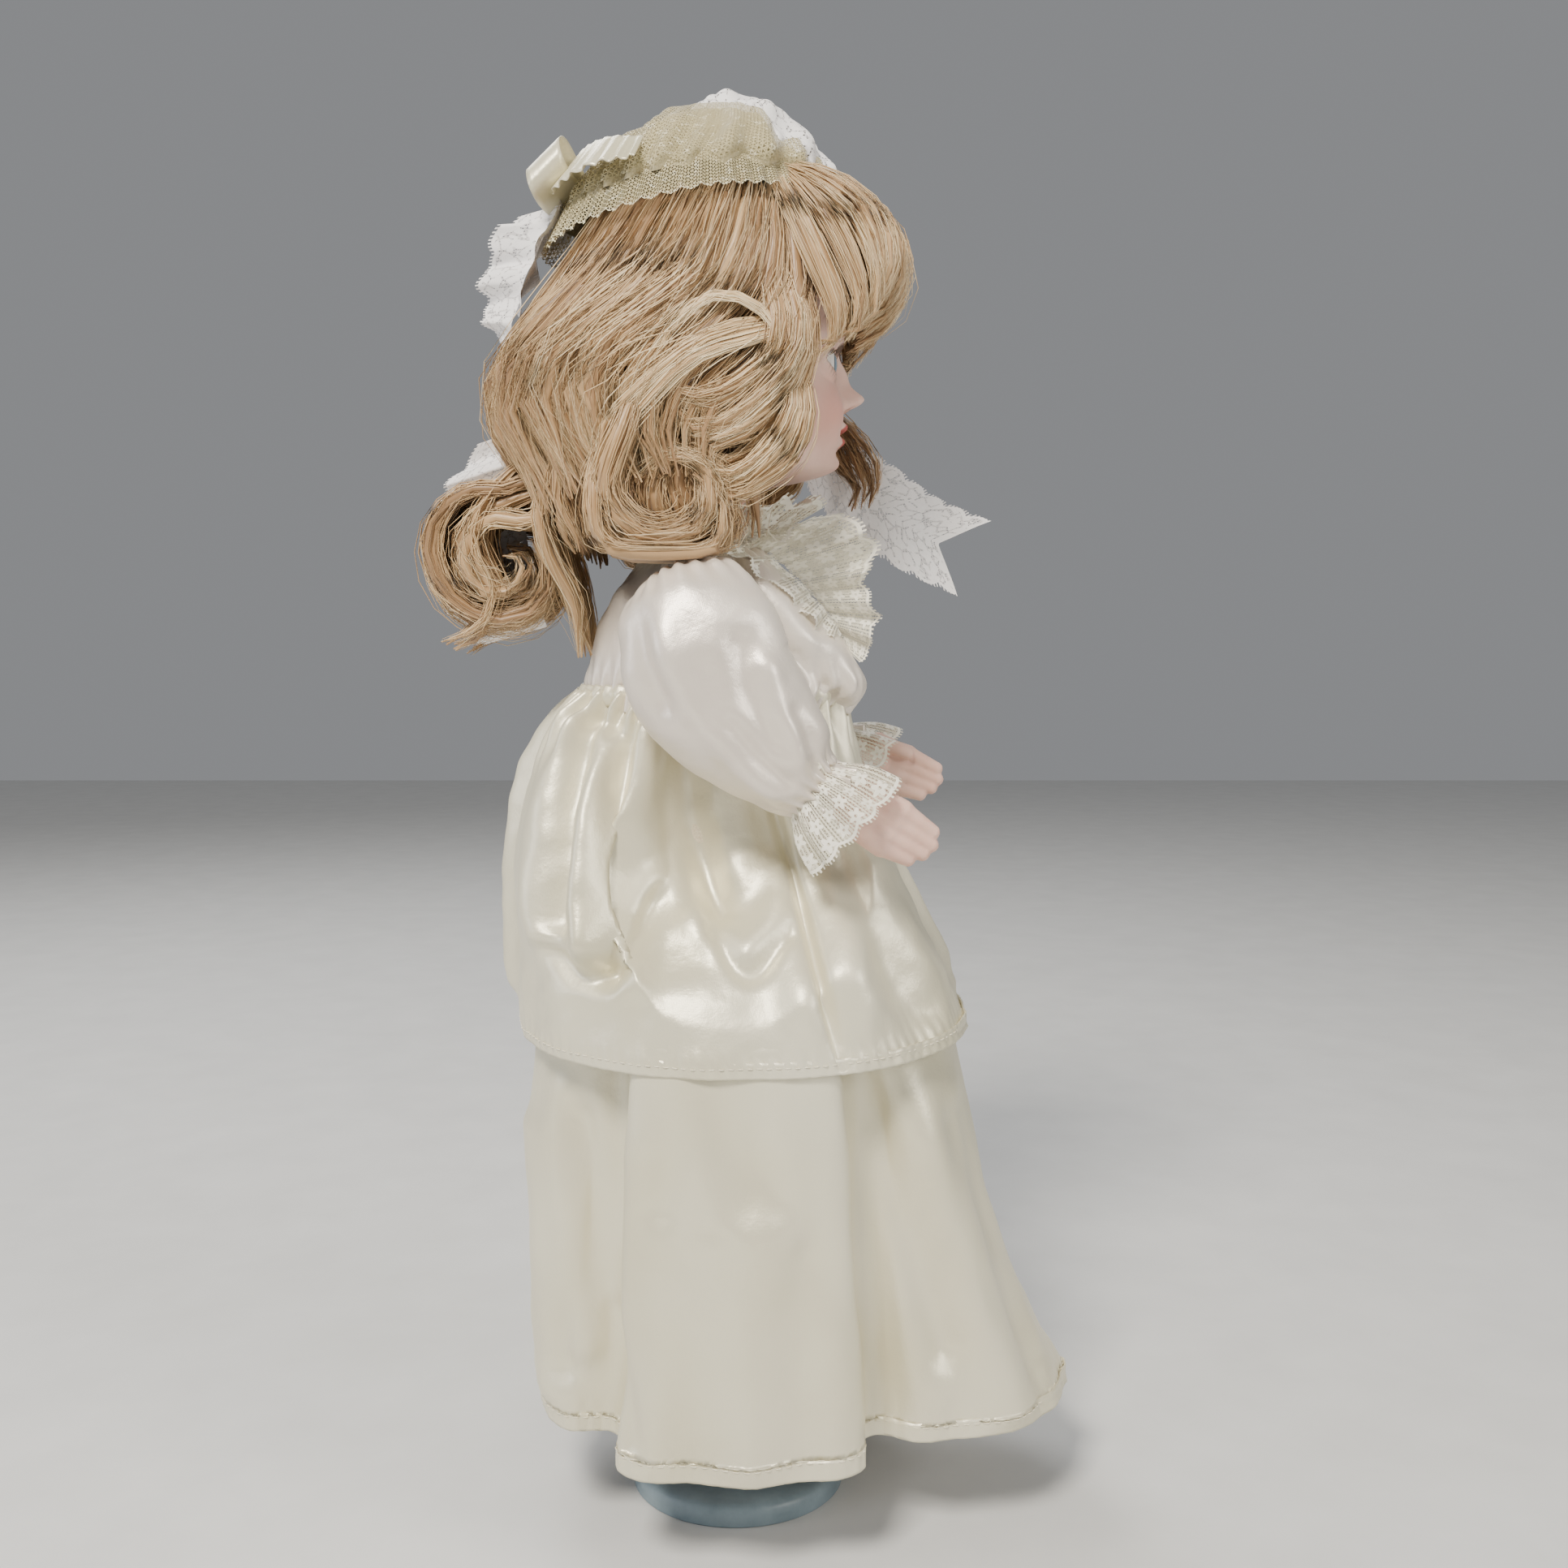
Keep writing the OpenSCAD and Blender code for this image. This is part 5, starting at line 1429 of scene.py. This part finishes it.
def crown_points(lift=0.0, rows=60):
    """The puffed crown: low over the back, high over the brow, gathered into its edge."""
    table = np.array(CROWN_RINGS, float)
    turn = np.linspace(0, 2 * np.pi, 300, endpoint=False)
    out = []
    for u in np.linspace(0, 1, rows):
        front, back, side = (float(curve_at(table[:, [0, k]], u)) for k in (1, 2, 3))
        centre, deep = (front + back) / 2, (back - front) / 2
        rim = np.interp(np.cos(turn), [-1, -0.3, 0.4, 1], [385, 391, 395, 394])
        z = rim + (418.5 - rim) * u ** 1.08 + lift
        out.append(np.stack([-(side + lift) * np.sin(turn), centre - (deep + lift) * np.cos(turn), z], 1))
    grid = np.array(out)
    u = np.linspace(0, 1, rows)[:, None]
    gather = np.sin(turn * 26 + 2 * np.sin(turn * 3))[None] * 1.5 * bell(u, 0.08, 0.4)
    gather += np.sin(turn * 11 + 1.5 * np.sin(turn * 2))[None] * 1.6 * bell(u, 0.45, 0.3)
    crumple = (noise_mm(grid, 14, 31) * 1.8 + noise_mm(grid, 5, 32) * 0.7) * smooth((1 - u) / 0.2)
    grid = grid + outward(grid) * (gather + crumple)[..., None]
    # the lace puff presses the front of the crown down
    up = np.array([0, -0.534, 0.846])
    over = ((grid - [0, -6.0, 403.0]) * up).sum(2)
    spread = np.linalg.norm((grid - [0, -6.0, 403.0]) - over[..., None] * up, axis=2)
    pressed = np.clip(over - 0.5, 0, None) * smooth((28 - spread) / 8)
    return grid - up * pressed[..., None] * 0.9


def glitter_puff_points(rows=60, cols=360):
    """A gathered puff of lace over the front of the crown, with its frilled edge lying on the tulle."""
    centre = np.array([0, -7.5, 403.2])
    up, back = np.array([0, -0.534, 0.846]), np.array([0, 0.846, 0.534])
    turn = np.linspace(0, 2 * np.pi, cols, endpoint=False)
    tilt = np.linspace(0.03, 1.0, rows)[::-1] * math.radians(94)
    out = []
    for a in tilt:
        wide, deep = 31.0 * math.sin(a), 24.5 * math.sin(a)
        high = 13.2 * math.cos(a) ** 0.75 if math.cos(a) > 0 else -0.8
        out.append(centre + np.cos(turn)[:, None] * back * deep + np.sin(turn)[:, None]
                * np.array([wide, 0, 0]) + up * high)
    grid = np.array(out)
    u = np.linspace(0, 1, rows)[:, None]
    frill = np.sin(turn * 21 + 2 * np.sin(turn * 3))[None] * 1.5 * bell(u, 0, 0.16)
    gather = np.sin(turn * 12 + 2 * np.sin(turn * 2))[None] * 1.1 * bell(u, 0.35, 0.25)
    crumple = noise_mm(grid, 10, 41) * 2.2 * smooth((1 - u) / 0.25) + noise_mm(grid, 4.5, 42) * 0.9
    return (grid + outward(grid) * (frill + gather + crumple)[..., None])[::-1]


def ribbon_points(path, width_dir, width, cols=9):
    """A flat ribbon along a path."""
    line = spline(path, 14)
    across = np.linspace(-0.5, 0.5, cols)[:, None, None] * width
    return line[None] + across * np.asarray(width_dir, float) + 0.0


def build_headpiece():
    crown = grid_piece("tulle_crown", crown_points(), "head", TULLE, closed=True, cap="last")
    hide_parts("hat_crown")
    cloth_sheet(crown, (0.14, 0.075))
    veil = lace_piece("tulle_crown_net", crown_points(1.1, 44)[:-3], "head", TULLE_NET, closed=True)
    cloth_sheet(veil, (0.14, 0.075))
    rim_in = neck_ring(-27, 50, 40, (396, 396, 390), 320)
    rim_out = neck_ring(-31, 57, 44.5, (390.5, 385.5, 376), 320)
    edge = ring_ruffle(rim_in, rim_out, 16, 53, 0.75, 3)
    piece = lace_piece("tulle_brim_edge", edge, "head", TULLE_NET, closed=True)
    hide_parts("hat_brim")
    cloth_sheet(piece, (0.26, 0.012))
    piece = lace_piece("glitter_lace_puff", glitter_puff_points(), "head", WHITE_LACE, closed=True,
            cap="first")
    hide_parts("hat_ruffle")
    cloth_sheet(piece, (0.075, 0.06))
    # the narrow gathered satin strip that covers the seam at the back of the crown
    strip = ruffle_points([(-37, 24, 401), (-33, 34, 402), (-18, 43, 403), (0, 46, 403), (18, 43, 403),
                (33, 34, 402), (37, 24, 401)], [(-43, 26, 394), (-38, 39, 393), (-22, 51, 391),
                (0, 55, 390), (22, 51, 391), (38, 39, 393), (43, 26, 394)], 14, 260, 19, 0.6, 9)
    piece = grid_piece("satin_back_strip", strip, "head", SATIN, thick=0.35)
    cloth_sheet(piece, (0.12, 0.015))
    for name, side in SIDES.items():
        loop = [(0, 48, 394), (5 * side, 50, 398), (13 * side, 53, 403), (21 * side, 54, 401),
                (24 * side, 53, 396), (20 * side, 51, 392), (11 * side, 49, 391), (4 * side, 48, 393)]
        band = ribbon_points(loop, (0, -0.72, 0.69), 13)
        piece = grid_piece("satin_bow_loop_" + name, band, "head", SATIN, thick=0.35)
        cloth_sheet(piece, (0.057, 0.013))
        if side < 0:
            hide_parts("hat_bow")
    build_lace_tails()


def build_lace_tails():
    back = ruffle_points([(-14, 50, 389), (-13, 55, 380), (-10, 62, 366), (-8, 66, 352), (-8, 66, 344)],
            [(-6, 66, 388), (-6, 72, 380), (-3, 76, 366), (-3, 73, 354), (0, 69, 346)], 30, 170, 4, 2.6, 8)
    across = ruffle_points([(-15, 50, 390), (-18, 57, 375), (-17, 62, 358), (-14, 64, 343)],
            [(16, 50, 390), (18, 62, 377), (15, 68, 360), (12, 68, 344)], 34, 150, 3, 2.2, 3)
    piece = lace_piece("glitter_lace_back_tail", across, "head", WHITE_LACE)
    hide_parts("lace_tail_back")
    cloth_sheet(piece, (0.047, 0.031))
    cloth_sheet(lace_piece("glitter_lace_back_tail_fold", back, "head", WHITE_LACE), (0.047, 0.011))
    low = ruffle_points([(4, 58, 330), (4, 62, 316), (4, 64, 300), (4, 62, 284), (4, 58, 268)],
            [(8, 80, 323), (8, 92, 306), (8, 94, 290), (8, 90, 274), (8, 80, 262)], 26, 150, 5, 2.2, 4)
    cloth_sheet(lace_piece("glitter_lace_lower_tail", low, "head", WHITE_LACE), (0.075, 0.025))
    # the left tail hangs forward past the chin and ends in a V cut
    rows, cols = 40, 120
    v = np.linspace(0, 1, rows)[:, None]
    line = spline([(30.0, -12, 330), (30.0, -26, 321), (30.0, -42, 309), (30.0, -58, 298),
                (30.0, -76, 290)], 30)
    place = np.linspace(0, 1, len(line))
    length = 1 - 0.16 * (1 - np.abs(2 * v - 1))
    t = np.linspace(0, 1, cols)[None] * length
    grid = np.stack([np.interp(t, place, line[:, k]) for k in range(3)], -1)
    slope = directions_along(line)
    tangent = np.stack([np.interp(t, place, slope[:, k]) for k in range(3)], -1)
    across = np.cross(tangent, [1.0, 0, 0])
    width = 9 + 17 * smooth(t / 0.5)
    grid = grid + across * ((v - 0.5) * width)[..., None]
    grid[..., 0] += 0.7 * np.sin(t * 15 + v * 3) * smooth(t * 3)
    reach = 72.0
    edge = np.minimum(np.minimum(v, 1 - v) * width, (length - t) * reach * 0.8)
    piece = grid_piece("glitter_lace_left_tail", grid, "head", WHITE_LACE, edge=edge + 0.8)
    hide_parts("lace_tail_left")
    cloth_sheet(piece, (0.07, 0.025))


# ------------------------------------------------ stuffed body, underclothes, shoes and stand

STUFFED = {"torso": "doll", "right_upper_arm": "right_arm", "left_upper_arm": "left_arm",
        "right_upper_leg": "right_leg", "left_upper_leg": "left_leg"}


def build_stuffed():
    """Muslin limbs and body, filled firmly. Each swells from a slightly smaller shape, up to its cap."""
    scene = bpy.context.scene
    for node, body in STUFFED.items():
        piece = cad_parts[node].copy()
        piece.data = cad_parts[node].data.copy()
        piece.name = "stuffed_" + node
        for key in list(piece.keys()):
            del piece[key]
        bpy.context.collection.objects.link(piece)
        select_only(piece)
        bpy.ops.object.mode_set(mode="EDIT")
        bpy.ops.mesh.select_all(action="SELECT")
        bpy.ops.mesh.remove_doubles(threshold=0.01 * MM)
        bpy.ops.transform.shrink_fatten(value=-0.8 * MM)
        bpy.ops.object.mode_set(mode="OBJECT")
        remesh = piece.modifiers.new("rounded", "REMESH")
        remesh.mode = "VOXEL"
        remesh.voxel_size = (4.0 if node == "torso" else 2.6) * MM
        soft = piece.modifiers.new("softened", "SMOOTH")
        soft.iterations = 3
        apply_modifiers(piece)
        before = np.array([v.co[:] for v in piece.data.vertices])
        cloth = piece.modifiers.new("filling", "CLOTH")
        cloth.settings.use_pressure = True
        cloth.settings.uniform_pressure_force = 4
        cloth.settings.effector_weights.gravity = 0
        cloth.point_cache.frame_start, cloth.point_cache.frame_end = 1, 20
        for step in range(1, 21):
            scene.frame_set(step)
        apply_modifiers(piece)
        scene.frame_set(1)
        after = np.array([v.co[:] for v in piece.data.vertices])
        move = after - before
        size = np.linalg.norm(move, axis=1)[:, None]
        after = before + move * np.minimum(1, 0.9 * MM / np.maximum(size, 1e-9))
        piece.data.vertices.foreach_set("co", after.ravel())
        grow = piece.modifiers.new("one_subdivision", "SUBSURF")
        grow.levels = grow.render_levels = 1
        apply_modifiers(piece)
        select_only(piece)
        bpy.ops.object.shade_smooth()
        piece.data.materials.clear()
        piece.data.materials.append(MUSLIN_PLAIN)
        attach(piece, body)
        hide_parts(node)


def build_underclothes():
    for name, side in SIDES.items():
        x = 16 * side
        path = [(x, 8, 175), (x, 8, 168), (x, 8, 150), (x, 8, 130), (x, 8, 112), (x, 8, 104), (x, 8, 100),
                (x, 8, 93)]
        width = [(10.2, 10.4), (10.5, 12), (10.7, 13.8), (10.8, 14.2), (10.5, 13.4), (9.8, 11), (9.4, 10.4),
                (10.5, 12.6)]
        grid = tube_points(spline(path, 8), spline(width, 8), 90)
        u = np.linspace(0, 1, grid.shape[0])[:, None]
        turn = np.linspace(0, 2 * np.pi, 90, endpoint=False)[None]
        push = np.sin(turn * 19 + np.sin(turn * 3)) * (0.25 + 0.35 * bell(u, 0.83, 0.12))
        grid = grid + outward(grid) * push[..., None]
        piece = grid_piece("cotton_bloomer_" + name, grid, name + "_leg", COTTON, closed=True, thick=0.3)
        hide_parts(name + "_bloomer")
        cloth_sheet(piece, (0.09, 0.083))
        path = [(x, 8.4, 32.5), (x, 8.4, 40), (x, 8.4, 50), (x, 8.4, 55.5)]
        grid = tube_points(spline(path, 10), spline([(7.2, 8.0), (7.2, 8.0), (7.3, 8.1), (7.4, 8.3)], 10),
                120)
        rib = 0.22 * np.sin(np.linspace(0, 2 * np.pi, 120, endpoint=False)[None] * 30)
        grid = grid + outward(grid) * rib[..., None]
        piece = grid_piece("knitted_sock_" + name, grid, name + "_leg", COTTON, closed=True, thick=0.4)
        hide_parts(name + "_sock")
        cloth_sheet(piece, (0.048, 0.023))


def finish_part(piece, name, material, body):
    piece.name = name
    bake_place(piece)
    piece.data.materials.append(material)
    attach(piece, body)


def build_shoes():
    """Moulded strap shoes: a flat sole, a rounded upper, an ankle strap and a bead button."""
    for name, side in SIDES.items():
        x = 16 * side
        rods = [((x, 11.5, 17.5), (x, -2, 17), 6.4, 6.2), ((x, -2, 17), (x, -16, 16.6), 6.2, 6.7)]
        upper = joined_capsules("shoe_upper_" + name, rods, 0.8, name + "_leg", VINYL, -1)
        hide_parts(name + "_shoe")
        deselect()
        bpy.ops.mesh.primitive_cylinder_add(vertices=64, radius=7.2 * MM, depth=2.0 * MM,
                location=(x * MM, -2.5 * MM, 12.1 * MM))
        sole = bpy.context.object
        bpy.ops.object.mode_set(mode="EDIT")
        bpy.ops.mesh.select_all(action="SELECT")
        bpy.ops.transform.resize(value=(1, 2.95, 1))
        bpy.ops.object.mode_set(mode="OBJECT")
        finish_part(sole, "shoe_sole_" + name, SOLE, name + "_leg")
        edge = sole.modifiers.new("rounded_edge", "BEVEL")
        edge.width = 0.5 * MM
        edge.segments = 3
        apply_modifiers(sole)
        deselect()
        bpy.ops.mesh.primitive_torus_add(major_radius=7.6 * MM, minor_radius=0.9 * MM, major_segments=64,
                minor_segments=12, location=(x * MM, 6 * MM, 23.2 * MM))
        strap = bpy.context.object
        bpy.ops.object.mode_set(mode="EDIT")
        bpy.ops.transform.resize(value=(1, 1.06, 0.9))
        bpy.ops.object.mode_set(mode="OBJECT")
        bpy.ops.object.shade_smooth()
        finish_part(strap, "shoe_strap_" + name, VINYL, name + "_leg")
        deselect()
        bpy.ops.mesh.primitive_uv_sphere_add(segments=20, ring_count=12, radius=1.3 * MM,
                location=((x + 7.9 * side) * MM, 3.4 * MM, 23.2 * MM))
        button = bpy.context.object
        bpy.ops.object.shade_smooth()
        finish_part(button, "shoe_button_" + name, PEARL, name + "_leg")


def build_base():
    """The moulded disc: a flat top, a rounded shoulder and a slight foot."""
    deselect()
    bpy.ops.mesh.primitive_circle_add(vertices=160, radius=32.4 * MM, fill_type="NGON")
    base = bpy.context.object
    base.name = "stand_base_disc"
    bpy.ops.object.mode_set(mode="EDIT")
    radius = 32.4
    for rise, wider in ((0.5, 32.9), (2.6, 33.0), (2.2, 32.6), (0.9, 31.7), (0.6, 30.4), (0.15, 26.0)):
        bpy.ops.mesh.extrude_region_move(TRANSFORM_OT_translate={"value": (0, 0, rise * MM)})
        bpy.ops.transform.resize(value=(wider / radius, wider / radius, 1))
        radius = wider
    bpy.ops.mesh.inset(thickness=8 * MM)
    bpy.ops.mesh.select_all(action="SELECT")
    bpy.ops.mesh.normals_make_consistent(inside=False)
    bpy.ops.object.mode_set(mode="OBJECT")
    bpy.ops.object.shade_smooth_by_angle(angle=math.radians(40))
    bake_place(base)
    base.data.materials.append(BASE_PAINT)
    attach(base, "stand")
    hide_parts("stand_base")


CAD_FINISH = {"stand_tube": "STEEL", "stand_collar": "STEEL", "stand_screw": "STEEL", "stand_rod": "STEEL",
        "stand_saddle": "STEEL", "shoulder_plate": "PLAIN_BISQUE", "neck_washer": "NYLON",
        "neck_bolt": "STEEL", "neck_nut": "STEEL", "back_snaps": "STEEL", "head_pate": "CARD",
        "right_lower_leg": "PLAIN_BISQUE", "left_lower_leg": "PLAIN_BISQUE",
        "right_arm_tie": "MUSLIN_PLAIN", "left_arm_tie": "MUSLIN_PLAIN", "right_leg_tie": "MUSLIN_PLAIN",
        "left_leg_tie": "MUSLIN_PLAIN"}


def finish_cad_nodes():
    for node, finish in CAD_FINISH.items():
        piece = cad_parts[node]
        if not piece.material_slots:
            piece.data.materials.append(None)
        for slot in piece.material_slots:
            slot.material = FINISHES[finish]


def build_lashes():
    """Upper lashes are bunches of fine hair set along the lid; each one curves forward and up."""
    paths, radii = [], []
    for side in (-1, 1):
        for t in np.linspace(-0.95, 0.95, 26):
            dx = 6.3 * t
            top = 3.9 * math.sqrt(max(0, 1 - (dx / 6.6) ** 2)) ** 1.1 + 0.08 * dx
            depth = math.sqrt((EYE_R + 0.75) ** 2 - dx ** 2 - top ** 2)
            root = np.array([(EYE[0] + dx) * side, EYE[1] - depth, EYE[2] + top])
            long = 3.4 - 0.9 * abs(t) + 0.8 * max(0, t)
            s = np.linspace(0, 1, 7)
            path = root + np.stack([side * 1.9 * t * s, -long * s * (1 - 0.25 * s),
                        long * (0.1 * s + 0.5 * s ** 2)], 1)
            paths.append(path)
            radii.append(np.stack([0.11 * (1 - 0.8 * s)] * 2, 1))
    verts, faces, tone = strand_mesh(np.array(paths), np.array(radii), np.full((len(paths), 7), 0.0), 4)
    mesh = bpy.data.meshes.new("set_eyelashes")
    mesh.from_pydata((verts * MM).tolist(), [], faces.tolist())
    mesh.attributes.new("tone", "FLOAT", "POINT").data.foreach_set("value", tone.astype(np.float32))
    mesh.materials.append(HAIR)
    piece = bpy.data.objects.new("set_eyelashes", mesh)
    bpy.context.collection.objects.link(piece)
    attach(piece, "head")
    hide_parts("eyelashes")


add_camera()
build_skirts()
build_bodice()
build_sleeves()
build_head()
build_hands()
build_hair()
build_neck_lace()
build_headpiece()
build_lashes()
build_stuffed()
build_underclothes()
build_shoes()
build_base()
finish_cad_nodes()


# ---------------------------------------------------------------- floor, light and finish

def build_stage():
    deselect()
    bpy.ops.mesh.primitive_plane_add(size=1)
    floor = bpy.context.object
    floor.name = "floor"
    bpy.ops.transform.resize(value=(6, 6, 1))
    bake_place(floor)
    floor.data.materials.append(make_plain("matt_pale_studio_paper", "D9D9D7", "D2D2D0", 0.9, 40.0,
                bump_mm=0.02))
    for place, size, watts, tint in (((-0.95, 0.35, 1.20), 0.34, 30, "FFF8EC"),
            ((-0.75, -1.15, 0.75), 0.45, 9, "FFFBF4"), ((0.9, 0.5, 1.3), 0.7, 12, "FFFFFF"),
            ((-0.3, 1.3, 0.5), 0.5, 4, "F0F4FF")):
        deselect()
        bpy.ops.object.light_add(type="AREA", location=place)
        lamp = bpy.context.object
        lamp.data.size = size
        lamp.data.energy = watts
        lamp.data.color = linear(tint)[:3]
        lamp.rotation_euler = (Vector((0, 0, 0.22)) - Vector(place)).to_track_quat("-Z", "Y").to_euler()
    world = bpy.data.worlds.new("soft_room")
    world.use_nodes = True
    world.node_tree.nodes["Background"].inputs["Color"].default_value = linear("E6E8EC")
    world.node_tree.nodes["Background"].inputs["Strength"].default_value = 0.32
    bpy.context.scene.world = world


build_stage()
